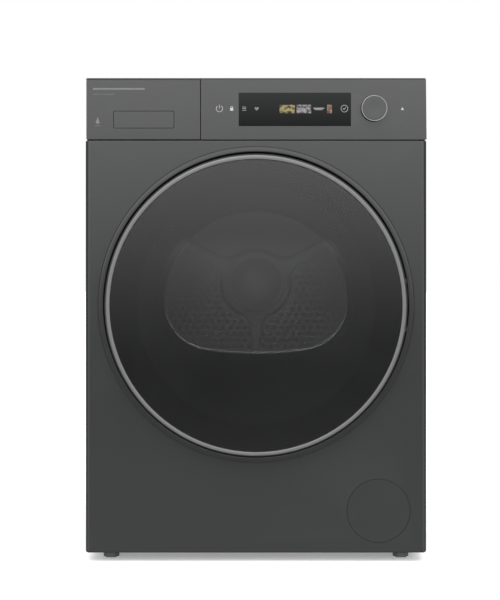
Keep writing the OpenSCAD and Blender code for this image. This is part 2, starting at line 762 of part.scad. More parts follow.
// Flush disc on a bent arm that swings round the panel's edge as the disc folds down
module access_cover() color("#454747") {
    translate([access_x, front_y, access_z]) rotate([-90, 0, 0])
        cylinder(r1 = access_r - 0.8, r2 = access_r - 2.8, h = 2.2);
    difference() {
        block(access_x - 5, access_x + 5, front_y + 1, access_pin_y + 8,
            access_pin_z - 1.2, access_pin_z + 10);
        block(access_x - 6, access_x + 6, front_y, access_pin_y + 5.4, access_pin_z + 1.2, access_pin_z + 7);
        block(access_x - 6, access_x + 6, front_y, access_pin_y, access_pin_z - 2, access_pin_z + 3);
    }
    rod_x(1.3, access_x - 13, access_x + 13, access_pin_y, access_pin_z);
}

module door_trim_ring() color("#9a9c9c") {
    difference() {
        turned(concat([[glass_r + 0.3, -12.8]],
            [for (p = arc(0, 0, 1, 180, 0, 10))
                [(door_r + glass_r + 0.3) / 2 + p[0] * (door_r - glass_r - 0.3) / 2, -22.5 - 2 * p[1]]],
            [[door_r, -2], [door_r - 2.7, -2], [door_r - 2.7, -12.8]]));
        block(246, 270, front_y - 12.6, front_y + 10, axis_z - hinge_h - 2, axis_z + hinge_h + 2);
    }
}

module door_glass() color("#202222", 0.8) {
    rod_y(glass_r, front_y - 22.3, front_y - 18.3);
}

// Ring that carries the glass, closed at the back by the inner cover
module door_frame() color("#3a3c3c") {
    difference() {
        turned([[236, -18.1], [glass_r - 0.2, -18.1], [glass_r - 0.2, -12.6], [door_r - 3, -12.6],
            [door_r - 3, 12], [door_r - 7, 26], [0, 26], [0, 23], [door_r - 10, 23], [door_r - 6, 11],
            [door_r - 6, -9.6], [236, -9.6]]);
        port(-8, 20, 30);
        block(246, 270, front_y - 12.5, front_y + 27, axis_z - hinge_h - 2, axis_z + hinge_h + 2);
        block(231, 250, front_y - 12, front_y + 12, axis_z - 31, axis_z + 31);
        block(hook_x - 4, hook_x + 4, front_y + 15, front_y + 30, axis_z - 10, axis_z + 12);
    }
    difference() {
        for (x = [hook_x - 9, hook_x + 4]) block(x, x + 5, front_y + 7, front_y + 24, axis_z - 6, axis_z + 6);
        rod_x(2.55, hook_x - 7.5, hook_x + 7.5, front_y + 12, axis_z);
    }
}

module door_bowl() color("lightgray", 0.5) {
    difference() {
        union() {
            port(-9, 19.6, 66);
            port(4, 19.6, 22.8);
        }
        port(-12.5, 19, 62.5);
    }
}

// Lint screen cassette that lifts out of the sill
module lint_filter() color("#5d6164") {
    top = axis_z - sill_drop - 1;
    difference() {
        union() {
            block(-filter_x, filter_x, filter_y, filter_y + filter_t, top - filter_h, top - 4);
            block(-filter_x - 3, filter_x + 3, filter_y - 1, filter_y + filter_t + 1, top - 8, top - 2);
        }
        block(-filter_x + 3, filter_x - 3, filter_y + 3, filter_y + filter_t - 3,
            top - filter_h + 3, top + 1);
        for (i = [0:3]) block(-filter_x + 8 + i * 47, -filter_x + 51 + i * 47, filter_y - 2,
            filter_y + filter_t + 2, top - filter_h + 12, top - 18);
    }
}

module dial_knob() color("#565858") {
    rod_y(knob_r, fascia_y - 13, fascia_y + 7, knob_x, knob_z);
    rod_y(3, fascia_y + 6, fascia_y + 14, knob_x, knob_z);
}

module idler_arm() color("gray") {
    wheel = idler_centre();
    lever = wheel - idler_pivot;
    extrude_y(idler_y, idler_y + 4) difference() {
        union() {
            translate(idler_pivot) circle(r = 10);
            translate(wheel) circle(r = 9);
            translate(idler_pivot) rotate(atan2(lever[1], lever[0]))
                translate([2, -7]) square([norm(lever) - 3, 14]);
        }
        translate(idler_pivot) circle(r = 5.05);
    }
    rod_y(4, belt_y - 1, idler_y + 1, wheel[0], wheel[1]);
}

// The idler presses on the belt's lower strand from outside, near the motor
function idler_centre() =
    let (r1 = drum_r + belt_gap + belt_t, r2 = pulley_r + belt_gap + belt_t,
        dz = motor_z - axis_z,
        spread = acos((r1 - r2) / norm([motor_x, dz])),
        a = atan2(dz, motor_x) - spread,
        out = [cos(a), sin(a)],
        p1 = [r1 * out[0], axis_z + r1 * out[1]],
        p2 = [motor_x + r2 * out[0], motor_z + r2 * out[1]])
    p1 + (p2 - p1) * 0.7 + out * (idler_r + 0.4);

module idler_wheel() color("#3a3a3a") {
    c = idler_centre();
    ring_y(idler_r, 4.05, belt_y, belt_y + belt_w, c[0], c[1]);
}

module foot(sx, y) color("#303131") translate([sx * foot_x, y, 0]) {
    cylinder(r = foot_r, h = 9, $fn = 6);
    translate([0, 0, 8.5]) cylinder(r = 4, h = 46);
    translate([0, 0, 8.9]) cylinder(r = 10, h = 2.4);
}

base_tray();
side_panel(-1);  // left_side_panel
side_panel(1);  // right_side_panel
rear_panel();
top_panel();
front_panel();
control_fascia();
display_window();
control_board();
tank_housing();
front_bulkhead();
port_seal();
front_drum_seal();
rear_bulkhead();
rear_drum_seal();
rear_duct_cover();
shaft_bearing();
roller_axles();
motor_housing();
fan_housing();
compressor();
evaporator();
condenser();
heat_pump_cover();
refrigerant_pipes();
condensate_pump();
drain_outlet();
cord_gland();
panel_screws();
hinge_bracket();
latch_keeper();
moisture_sensor();
access_frame();
drive_belt();
drum_shell();
drum_back();
drum_lifters();
drum_shaft();
motor_shaft();
fan_wheel();
idler_arm();
idler_wheel();
roller(-1);  // roller_left
roller(1);  // roller_right
door_trim_ring();
door_glass();
door_frame();
door_bowl();
door_hinge_arm();
latch_hook();
tank_front();
tank_reservoir();
tank_flap();
lint_filter();
dial_knob();
access_cover();
foot(-1, foot_y);  // foot_front_left
foot(1, foot_y);  // foot_front_right
foot(-1, foot_rear_y);  // foot_rear_left
foot(1, foot_rear_y);  // foot_rear_right
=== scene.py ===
"""Looks for the front-loading clothes dryer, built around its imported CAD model."""

import math

import bmesh
import bpy
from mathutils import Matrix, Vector


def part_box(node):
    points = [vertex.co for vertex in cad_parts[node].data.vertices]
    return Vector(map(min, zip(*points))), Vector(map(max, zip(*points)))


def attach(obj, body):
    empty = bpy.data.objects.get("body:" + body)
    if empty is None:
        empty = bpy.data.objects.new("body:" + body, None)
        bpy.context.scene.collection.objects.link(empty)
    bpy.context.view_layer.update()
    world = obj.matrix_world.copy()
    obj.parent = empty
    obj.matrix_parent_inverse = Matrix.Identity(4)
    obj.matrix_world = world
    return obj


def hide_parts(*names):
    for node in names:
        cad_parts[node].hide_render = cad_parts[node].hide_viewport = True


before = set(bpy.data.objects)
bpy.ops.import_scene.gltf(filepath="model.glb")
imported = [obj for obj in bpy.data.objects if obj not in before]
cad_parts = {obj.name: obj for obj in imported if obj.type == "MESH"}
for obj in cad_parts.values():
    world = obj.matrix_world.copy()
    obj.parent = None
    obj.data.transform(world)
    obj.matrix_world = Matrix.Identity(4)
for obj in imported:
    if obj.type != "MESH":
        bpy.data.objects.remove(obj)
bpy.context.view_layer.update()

# ---------- places taken from the frame ----------

PANEL_LOW, PANEL_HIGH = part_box("front_panel")
GLASS_LOW, GLASS_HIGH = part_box("door_glass")
RING_LOW, RING_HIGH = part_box("door_trim_ring")
DIAL_LOW, DIAL_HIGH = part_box("dial_knob")
WINDOW_LOW, WINDOW_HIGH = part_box("display_window")
FASCIA_LOW, FASCIA_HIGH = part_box("control_fascia")
TANK_LOW, TANK_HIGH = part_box("tank_front")
COVER_LOW, COVER_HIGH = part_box("access_cover")
SHELL_LOW, SHELL_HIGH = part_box("drum_shell")
BACK_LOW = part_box("drum_back")[0]

FRONT_Y = PANEL_LOW[1]
AXIS_X = (GLASS_LOW[0] + GLASS_HIGH[0]) / 2
AXIS_Z = (GLASS_LOW[2] + GLASS_HIGH[2]) / 2
GLASS_R = (GLASS_HIGH[0] - GLASS_LOW[0]) / 2
RING_R = (RING_HIGH[2] - RING_LOW[2]) / 2
DIAL_X = (DIAL_LOW[0] + DIAL_HIGH[0]) / 2
DIAL_Z = (DIAL_LOW[2] + DIAL_HIGH[2]) / 2
DIAL_R = (DIAL_HIGH[0] - DIAL_LOW[0]) / 2
COVER_X = (COVER_LOW[0] + COVER_HIGH[0]) / 2
COVER_Z = COVER_HIGH[2] - (COVER_HIGH[0] - COVER_LOW[0]) / 2
COVER_R = (COVER_HIGH[0] - COVER_LOW[0]) / 2

# The door recess in the front panel, as its CAD solid has it, and how far its hole reaches beyond the port
RECESS_R = 0.2775
RECESS_WALL_R = 0.2685
RECESS_DEPTH = 0.030
PORT_GROWTH = 0.016

# Half the width of the grip pocket in the drawer's front, and the radius inside the glass's printed border
POCKET_HALF_W = 0.0535
BORDER_INNER_R = 0.208

MM = 0.001

# The drum back's parts: the crest of the ring round the hub, and the two edges of its perforated sheet
HUB_RING_R = 66 * MM
SHEET_INNER_R = 74 * MM
SHEET_OUTER_R = 224 * MM

# Half the height of the gap in the ring's skirt at the hinge
HINGE_GAP_HALF = 48 * MM

# How far the marks stand out from the surface they are on
MARK_THICKNESS = 0.12 * MM


# ---------- mesh helpers ----------


def add_object(name, bm, body, smooth_angle=35.0):
    """Turns a bmesh into an object that rides on a body, where one is given."""
    mesh = bpy.data.meshes.new(name)
    bmesh.ops.recalc_face_normals(bm, faces=bm.faces)
    bm.to_mesh(mesh)
    bm.free()
    obj = bpy.data.objects.new(name, mesh)
    bpy.context.scene.collection.objects.link(obj)
    shade(obj, smooth_angle)
    if body is not None:
        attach(obj, body)
    return obj


def shade(obj, angle):
    """Smooth shading that keeps edges sharper than the angle, with flat faces kept flat."""
    mesh = obj.data
    mesh.shade_smooth()
    mesh.set_sharp_from_angle(angle=math.radians(angle))
    weights = obj.modifiers.new("flat faces first", "WEIGHTED_NORMAL")
    weights.keep_sharp = True


def round_edges(obj, width):
    """Breaks a CAD part's sharp edges; its coplanar triangles are merged first."""
    merge = obj.modifiers.new("merge flats", "DECIMATE")
    merge.decimate_type = "DISSOLVE"
    merge.angle_limit = math.radians(1.0)
    bevel = obj.modifiers.new("broken edges", "BEVEL")
    bevel.width = width
    bevel.segments = 2
    bevel.limit_method = "ANGLE"
    bevel.angle_limit = math.radians(40.0)
    bevel.use_clamp_overlap = True
    weights = obj.modifiers.new("flat faces first", "WEIGHTED_NORMAL")
    weights.keep_sharp = True


def arc(cx, cy, radius, start, end, steps):
    """Points on an arc, in degrees."""
    points = []
    for i in range(steps + 1):
        a = math.radians(start + (end - start) * i / steps)
        points.append((cx + radius * math.cos(a), cy + radius * math.sin(a)))
    return points


def lathe(profile, centre, segments=192, closed=True):
    """Turns a profile of (radius, y) about the Y axis through centre."""
    bm = bmesh.new()
    rings = []
    for radius, y in profile:
        if radius < 1e-7:
            rings.append([bm.verts.new((centre[0], y, centre[2]))])
            continue
        ring = []
        for i in range(segments):
            a = 2 * math.pi * i / segments
            ring.append(bm.verts.new((centre[0] + radius * math.cos(a), y, centre[2] + radius * math.sin(a))))
        rings.append(ring)
    pairs = list(zip(rings, rings[1:]))
    if closed:
        pairs.append((rings[-1], rings[0]))
    for a, b in pairs:
        bridge(bm, a, b)
    return bm


def bridge(bm, a, b):
    """Joins two rings of points; a ring of one point is a tip."""
    if len(a) == 1 and len(b) == 1:
        return
    n = max(len(a), len(b))
    for i in range(n):
        j = (i + 1) % n
        if len(a) == 1:
            bm.faces.new((a[0], b[i], b[j]))
        elif len(b) == 1:
            bm.faces.new((a[i], a[j], b[0]))
        else:
            bm.faces.new((a[i], a[j], b[j], b[i]))


def rounded_rect(x0, z0, x1, z1, radius, steps=6):
    """Outline of a rectangle with rounded corners, counter-clockwise seen from the front."""
    return (
        arc(x1 - radius, z0 + radius, radius, -90, 0, steps)
        + arc(x1 - radius, z1 - radius, radius, 0, 90, steps)
        + arc(x0 + radius, z1 - radius, radius, 90, 180, steps)
        + arc(x0 + radius, z0 + radius, radius, 180, 270, steps)
    )


def circle(cx, cz, radius, segments=96):
    """Outline of a circle, counter-clockwise seen from the front."""
    return arc(cx, cz, radius, 0, 360.0 * (segments - 1) / segments, segments - 1)


def loop_at(bm, outline, y):
    """Adds an outline's points at one depth."""
    return [bm.verts.new((x, y, z)) for x, z in outline]


def fill_flat(bm, loops):
    """Fills a flat region bounded by loops of points, the later ones being holes."""
    edges = []
    for loop in loops:
        for i, v in enumerate(loop):
            w = loop[(i + 1) % len(loop)]
            edge = bm.edges.get((v, w)) or bm.edges.new((v, w))
            edges.append(edge)
    bmesh.ops.triangle_fill(bm, use_beauty=True, use_dissolve=False, edges=edges)


def slab(outline, y0, y1, holes=()):
    """A plate with an outline in the front view, from y0 at the front to y1 at the back."""
    bm = bmesh.new()
    fronts = []
    backs = []
    for hole in (outline, *holes):
        front = loop_at(bm, hole, y0)
        back = loop_at(bm, hole, y1)
        bridge(bm, front, back)
        fronts.append(front)
        backs.append(back)
    fill_flat(bm, fronts)
    fill_flat(bm, backs)
    return bm


def merge_into(bm, other):
    """Adds another bmesh's geometry to bm."""
    mesh = bpy.data.meshes.new("merge")
    other.to_mesh(mesh)
    other.free()
    bm.from_mesh(mesh)
    bpy.data.meshes.remove(mesh)


# ---------- materials ----------


class Nodes:
    """Short names for building a node material."""

    def __init__(self, name):
        """Starts a material with the given name."""
        self.material = bpy.data.materials.new(name)
        self.material.use_nodes = True
        self.tree = self.material.node_tree
        self.shader = self.tree.nodes["Principled BSDF"]
        self.place = self.tree.nodes.new("ShaderNodeTexCoord").outputs["Object"]

    def set(self, **values):
        """Sets the shader's own sockets; underscores stand for spaces."""
        for key, value in values.items():
            self.shader.inputs[key.replace("_", " ")].default_value = value

    def stretched(self, x, y, z):
        """Object coordinates stretched along each axis."""
        mapping = self.tree.nodes.new("ShaderNodeMapping")
        mapping.inputs["Scale"].default_value = (x, y, z)
        self.tree.links.new(self.place, mapping.inputs["Vector"])
        return mapping.outputs["Vector"]

    def noise(self, scale, detail, roughness, place=None):
        """Noise in object coordinates, or in the coordinates given."""
        node = self.tree.nodes.new("ShaderNodeTexNoise")
        node.inputs["Scale"].default_value = scale
        node.inputs["Detail"].default_value = detail
        node.inputs["Roughness"].default_value = roughness
        self.tree.links.new(place or self.place, node.inputs["Vector"])
        return node.outputs["Fac"]

    def ramp(self, factor, low, high, start=0.35, end=0.65):
        """Maps a factor to values or colours between low and high."""
        node = self.tree.nodes.new("ShaderNodeValToRGB")
        elements = node.color_ramp.elements
        elements[0].position = start
        elements[1].position = end
        elements[0].color = self.rgba(low)
        elements[1].color = self.rgba(high)
        self.tree.links.new(factor, node.inputs["Fac"])
        return node.outputs["Color"]

    @staticmethod
    def rgba(value):
        """A grey level or a colour, with full alpha."""
        if isinstance(value, (int, float)):
            return (value, value, value, 1.0)
        return (*value, 1.0)

    def link(self, output, socket):
        """Joins an output to one of the shader's own sockets."""
        self.tree.links.new(output, self.shader.inputs[socket])

    def bump(self, height, strength, distance):
        """Bends the shader's normal by a height."""
        node = self.tree.nodes.new("ShaderNodeBump")
        node.inputs["Strength"].default_value = strength
        node.inputs["Distance"].default_value = distance
        self.tree.links.new(height, node.inputs["Height"])
        self.link(node.outputs["Normal"], "Normal")

    def edge_wear(self, colour, worn):
        """Lightens convex edges slightly, where paint and plastic rub."""
        geometry = self.tree.nodes.new("ShaderNodeNewGeometry")
        mask = self.ramp(geometry.outputs["Pointiness"], 0.0, 1.0, 0.56, 0.72)
        node = self.tree.nodes.new("ShaderNodeMix")
        node.data_type = "RGBA"
        self.tree.links.new(mask, node.inputs["Factor"])
        self.tree.links.new(colour, node.inputs[6])
        node.inputs[7].default_value = self.rgba(worn)
        return node.outputs[2]


def tinted(colour, spread):
    """Darker and lighter versions of a colour."""
    dark = tuple(c * (1 - spread) for c in colour)
    light = tuple(c * (1 + spread) for c in colour)
    return dark, light


def coated(name, colour, roughness, spread=0.05, grain=900.0, depth=0.00003, specular=0.5, metallic=0.0, patch=9.0):
    """A painted, moulded or plated surface: slow colour drift, patchy gloss, fine grain and rubbed edges."""
    n = Nodes(name)
    dark, light = tinted(colour, spread)
    drift = n.ramp(n.noise(patch, 4.0, 0.6), dark, light, 0.3, 0.7)
    worn = tuple(min(1.0, c * 1.35 + 0.006) for c in colour)
    n.link(n.edge_wear(drift, worn), "Base Color")
    n.link(n.ramp(n.noise(patch * 2.6, 5.0, 0.65), roughness * 0.9, roughness * 1.1, 0.3, 0.7), "Roughness")
    n.set(Specular_IOR_Level=specular, Metallic=metallic)
    n.bump(n.noise(grain, 2.0, 0.5), 0.35, depth)
    return n.material


def brushed(name, colour, roughness, stretch, spread=0.06):
    """Metal with fine lines along its short-stretch direction."""
    n = Nodes(name)
    dark, light = tinted(colour, spread)
    lines = n.noise(60.0, 6.0, 0.7, n.stretched(*stretch))
    n.link(n.ramp(lines, dark, light, 0.3, 0.7), "Base Color")
    n.link(n.ramp(lines, roughness * 0.82, roughness * 1.2, 0.3, 0.7), "Roughness")
    n.set(Metallic=1.0)
    n.bump(lines, 0.25, 0.00002)
    return n.material


def clear(name, colour, roughness, alpha, specular=0.5):
    """Glass or clear plastic, seen through by its alpha, with faint smears in its gloss."""
    n = Nodes(name)
    dark, light = tinted(colour, 0.06)
    n.link(n.ramp(n.noise(3.0, 3.0, 0.5), dark, light, 0.3, 0.7), "Base Color")
    n.link(n.ramp(n.noise(7.0, 5.0, 0.7), roughness * 0.85, roughness * 1.25, 0.35, 0.7), "Roughness")
    n.set(Alpha=alpha, Specular_IOR_Level=specular)
    n.bump(n.noise(12.0, 2.0, 0.4), 0.05, 0.00002)
    n.material.surface_render_method = "BLENDED"
    return n.material


def smoked_painted_reflection(name, low, high, bottom, top):
    """The smoked display window, with a painted reflection of the light from above: its colour is lighter towards its
    top edge.
    """
    n = Nodes(name)
    split = n.tree.nodes.new("ShaderNodeSeparateXYZ")
    n.tree.links.new(n.place, split.inputs[0])
    height = n.tree.nodes.new("ShaderNodeMapRange")
    height.inputs["From Min"].default_value = bottom
    height.inputs["From Max"].default_value = top
    n.tree.links.new(split.outputs["Z"], height.inputs["Value"])
    # painted reflection: the base colour runs from dark at the bottom edge to lighter at the top, standing in for the
    # light from above
    n.link(n.ramp(height.outputs["Result"], low, high, 0.0, 1.0), "Base Color")
    n.link(n.ramp(n.noise(12.0, 4.0, 0.6), 0.11, 0.15, 0.3, 0.7), "Roughness")
    n.set(Specular_IOR_Level=0.07)
    n.bump(n.noise(200.0, 2.0, 0.5), 0.2, 0.000004)
    return n.material


def felted(name, colour):
    """Pressed felt."""
    n = Nodes(name)
    dark, light = tinted(colour, 0.18)
    n.link(n.ramp(n.noise(260.0, 6.0, 0.75), dark, light, 0.3, 0.7), "Base Color")
    n.set(Roughness=0.95, Sheen_Weight=0.4)
    n.bump(n.noise(420.0, 4.0, 0.7), 0.7, 0.0004)
    return n.material


def printed(name, colour, glow):
    """A mark, plain or softly lit."""
    n = Nodes(name)
    dark, light = tinted(colour, 0.08)
    tone = n.ramp(n.noise(300.0, 2.0, 0.5), dark, light, 0.3, 0.7)
    n.link(tone, "Base Color")
    n.link(tone, "Emission Color")
    n.set(Roughness=0.4, Emission_Strength=glow)
    return n.material


def pictured(name, low, high, scale):
    """A small lit picture tile: soft streaks between two colours."""
    n = Nodes(name)
    tone = n.ramp(n.noise(scale, 4.0, 0.7, n.stretched(1.0, 1.0, 1.6)), low, high, 0.43, 0.57)
    n.link(tone, "Base Color")
    n.link(tone, "Emission Color")
    n.set(Roughness=0.3, Emission_Strength=0.5, Specular_IOR_Level=0.15)
    n.bump(n.noise(scale * 2, 2.0, 0.5), 0.1, 0.00001)
    return n.material


PAINT = coated("dark enamel", (0.0285, 0.03, 0.0295), 0.165, 0.03, 1500.0, 0.00002, 0.42)
FASCIA = coated("fascia moulding", (0.0212, 0.0223, 0.0219), 0.15, 0.03, 2400.0, 0.00002)
# The display window's colour holds a painted reflection, lighter towards its top edge
DISPLAY_PAINTED_REFLECTION = smoked_painted_reflection("display window", (0.004, 0.0044, 0.0044), (0.019, 0.02, 0.02), WINDOW_LOW[2], WINDOW_HIGH[2])
RING = brushed("satin ring", (0.17, 0.17, 0.168), 0.42, (3.0, 90.0, 3.0))
DIAL = coated("satin dial", (0.035, 0.037, 0.036), 0.28, 0.04, 1800.0, 0.00002)
DIAL_RIM = brushed("bright dial rim", (0.34, 0.34, 0.334), 0.3, (8.0, 60.0, 8.0))
DOOR_DARK = coated("door moulding", (0.022, 0.023, 0.023), 0.5, 0.08, 1600.0, 0.00005)
GLASS = clear("tinted door glass", (0.004, 0.0044, 0.0044), 0.12, 0.6, 0.78)
BOWL = clear("clear door bowl", (0.12, 0.125, 0.125), 0.12, 0.05, 0.3)
BORDER = coated("printed border", (0.0035, 0.0036, 0.0036), 0.7, 0.1, 60.0, 0.00001, 0.05)
RUBBER = coated("black rubber", (0.012, 0.012, 0.012), 0.62, 0.15, 700.0, 0.00008, 0.35)
DRUM = brushed("drum steel", (0.52, 0.52, 0.51), 0.3, (2.0, 70.0, 2.0))
DRUM_BACK = coated("drum back steel", (0.42, 0.42, 0.414), 0.36, 0.06, 1500.0, 0.00003, 0.5, 0.6)
LIFTER = coated("lifter moulding", (0.36, 0.37, 0.375), 0.45, 0.05, 1400.0, 0.00005)
SUPPORT = coated("support moulding", (0.24, 0.25, 0.25), 0.5, 0.06, 1200.0, 0.00006)
ZINC = coated("coated rear sheet", (0.33, 0.34, 0.345), 0.42, 0.06, 500.0, 0.00003, 0.5, 0.35, 22.0)
TRAY = coated("tray moulding", (0.045, 0.046, 0.047), 0.6, 0.08, 900.0, 0.0001)
STEEL = brushed("turned steel", (0.5, 0.5, 0.49), 0.28, (40.0, 4.0, 40.0))
MACHINE = coated("pressed machine metal", (0.12, 0.12, 0.12), 0.5, 0.12, 700.0, 0.00008, 0.5, 0.5, 30.0)
FAN = coated("pale moulding", (0.33, 0.34, 0.345), 0.5, 0.05, 1200.0, 0.00005)
FINS = brushed("fin aluminium", (0.6, 0.61, 0.62), 0.34, (4.0, 4.0, 60.0))
COPPER = brushed("drawn copper", (0.62, 0.26, 0.14), 0.3, (30.0, 4.0, 30.0), 0.14)
TANK = coated("tank moulding", (0.48, 0.5, 0.51), 0.4, 0.04, 800.0, 0.00006)
FELT = felted("pressed felt", (0.36, 0.33, 0.27))
BELT = coated("ribbed belt", (0.012, 0.012, 0.012), 0.7, 0.2, 600.0, 0.0001, 0.3)
BOARD = coated("circuit board", (0.015, 0.09, 0.035), 0.4, 0.2, 300.0, 0.00008, patch=60.0)
BLACK = coated("black moulding", (0.016, 0.016, 0.017), 0.48, 0.1, 1500.0, 0.00006)
FOOT = coated("foot moulding", (0.055, 0.057, 0.057), 0.5, 0.1, 1200.0, 0.00006)
FILTER = coated("filter mesh", (0.1, 0.105, 0.11), 0.6, 0.15, 2600.0, 0.0003)
MARK = printed("pale mark", (0.34, 0.34, 0.335), 0.45)
MARK_SOFT = printed("soft pale mark", (0.15, 0.15, 0.148), 0.0)
TILE_OLIVE = pictured("olive tile", (0.012, 0.01, 0.004), (0.2, 0.17, 0.08), 120.0)
TILE_MAUVE = pictured("mauve tile", (0.045, 0.042, 0.045), (0.2, 0.19, 0.2), 170.0)
TILE_BROWN = pictured("brown tile", (0.05, 0.03, 0.022), (0.2, 0.125, 0.09), 170.0)

CAD_LOOKS = {
    "left_side_panel": PAINT,
    "right_side_panel": PAINT,
    "rear_panel": ZINC,
    "top_panel": PAINT,
    "control_board": BOARD,
    "tank_housing": SUPPORT,
    "front_bulkhead": SUPPORT,
    "port_seal": RUBBER,
    "front_drum_seal": FELT,
    "rear_bulkhead": ZINC,
    "rear_drum_seal": FELT,
    "rear_duct_cover": ZINC,
    "shaft_bearing": STEEL,
    "roller_axles": STEEL,
    "motor_housing": MACHINE,
    "fan_housing": FAN,
    "compressor": MACHINE,
    "evaporator": FINS,
    "condenser": FINS,
    "heat_pump_cover": SUPPORT,
    "refrigerant_pipes": COPPER,
    "condensate_pump": BLACK,
    "drain_outlet": BLACK,
    "cord_gland": BLACK,
    "panel_screws": STEEL,
    "hinge_bracket": STEEL,
    "latch_keeper": BLACK,
    "moisture_sensor": STEEL,
    "access_frame": BLACK,
    "drive_belt": BELT,
    "base_tray": TRAY,
    "drum_shell": DRUM,
    "drum_back": DRUM_BACK,
    "drum_lifters": LIFTER,
    "drum_shaft": STEEL,
    "motor_shaft": STEEL,
    "fan_wheel": FAN,
    "idler_arm": STEEL,
    "idler_wheel": BLACK,
    "roller_left": BLACK,
    "roller_right": BLACK,
    "door_trim_ring": RING,
    "door_glass": GLASS,
    "door_frame": DOOR_DARK,
    "door_bowl": BOWL,
    "door_hinge_arm": STEEL,
    "latch_hook": BLACK,
    "front_panel": PAINT,
    "control_fascia": FASCIA,
    "display_window": DISPLAY_PAINTED_REFLECTION,
    "tank_front": FASCIA,
    "tank_flap": FASCIA,
    "tank_reservoir": TANK,
    "lint_filter": FILTER,
    "dial_knob": DIAL,
    "access_cover": PAINT,
    "foot_front_left": FOOT,
    "foot_front_right": FOOT,
    "foot_rear_left": FOOT,
    "foot_rear_right": FOOT,
}

# How far the sharp edges of these CAD parts are broken
EDGE_BREAKS = {
    "left_side_panel": 0.5 * MM,
    "right_side_panel": 0.5 * MM,
    "top_panel": 0.8 * MM,
    "tank_flap": 0.4 * MM,
    "display_window": 0.3 * MM,
    "door_glass": 0.8 * MM,
    "tank_reservoir": 2.0 * MM,
    "lint_filter": 0.6 * MM,
    "foot_front_left": 0.6 * MM,
    "foot_front_right": 0.6 * MM,
    "foot_rear_left": 0.6 * MM,
    "foot_rear_right": 0.6 * MM,
    "rear_duct_cover": 2.0 * MM,
    "latch_hook": 0.4 * MM,
    "drum_lifters": 2.0 * MM,
    "base_tray": 0.6 * MM,
    "drain_outlet": 0.6 * MM,
    "cord_gland": 1.0 * MM,
    "panel_screws": 0.6 * MM,
    "hinge_bracket": 0.3 * MM,
}


def dress_cad():
    """Gives every CAD node its material, and breaks the edges of those listed above."""
    for name, material in CAD_LOOKS.items():
        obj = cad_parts[name]
        obj.data.materials.clear()
        obj.data.materials.append(material)
        if name in EDGE_BREAKS:
            round_edges(obj, EDGE_BREAKS[name])


# ---------- cabinet front ----------


def port_outline(growth):
    """The loading port's outline grown outwards, as the CAD solid has it: an arch over a bowed sill."""
    arch, corner, drop, bow = 0.171, 0.095, 0.0973, 0.650
    rise = bow - drop
    reach = arch - corner
    far = bow - corner
    cz = (rise**2 + reach**2 - far**2) / (2 * rise)
    cx = math.sqrt(reach**2 - cz**2)
    join = math.degrees(math.atan2(cz, cx))
    fall = math.degrees(math.atan2(rise - cz, cx))
    points = arc(0, 0, arch + growth, join, 180 - join, 48)
    points += arc(-cx, cz, corner + growth, 180 - join, 180 + fall, 20)[1:]
    points += arc(0, rise, bow + growth, 180 + fall, 360 - fall, 12)[1:]
    points += arc(cx, cz, corner + growth, 360 - fall, 360 + join, 20)[1:-1]
    return [(AXIS_X + x, AXIS_Z + z) for x, z in points]


def bend_inset(radius, depth):
    """How far a rounded edge stands in from the outline at a depth behind the face."""
    if depth >= radius:
        return 0.0
    return radius - math.sqrt(radius**2 - (radius - depth) ** 2)


def sheet_skin(bm, offset, back):
    """Loops from the edge of the flat face round the bends to the back, at an offset inside the outer skin."""
    side_bend = 8.5 * MM
    edge_bend = 2.2 * MM
    x0, z0 = PANEL_LOW[0] + offset, PANEL_LOW[2] + offset
    x1, z1 = PANEL_HIGH[0] - offset, PANEL_HIGH[2] - offset
    radius_x = side_bend - offset
    radius_z = max(edge_bend - offset, 0.4 * MM)
    loops = []
    for i in range(11):
        depth = radius_x * (1 - math.cos(math.pi / 2 * i / 10))
        dx = bend_inset(radius_x, depth)
        dz = bend_inset(radius_z, depth)
        loops.append(loop_at(bm, rounded_rect(x0 + dx, z0 + dz, x1 - dx, z1 - dz, 3 * MM), FRONT_Y + offset + depth))
    loops.append(loop_at(bm, rounded_rect(x0, z0, x1, z1, 3 * MM), back))
    return loops


def fill_recess_floor(bm, front_edge, back_edge, sheet):
    """Fills both sides of the recess floor inside its edges, with the port and the latch slot left open."""
    hook_low, hook_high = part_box("latch_hook")
    slot_x = (hook_low[0] + hook_high[0]) / 2
    slot = rounded_rect(slot_x - 10 * MM, AXIS_Z - 14 * MM, slot_x + 10 * MM, AXIS_Z + 16 * MM, 2 * MM)
    port = port_outline(PORT_GROWTH)
    floor_front = [loop_at(bm, outline, FRONT_Y + RECESS_DEPTH) for outline in (port, slot)]
    floor_back = [loop_at(bm, outline, FRONT_Y + RECESS_DEPTH + sheet) for outline in (port, slot)]
    for a, b in zip(floor_front, floor_back):
        bridge(bm, a, b)
    fill_flat(bm, [front_edge, *floor_front])
    fill_flat(bm, [back_edge, *floor_back])


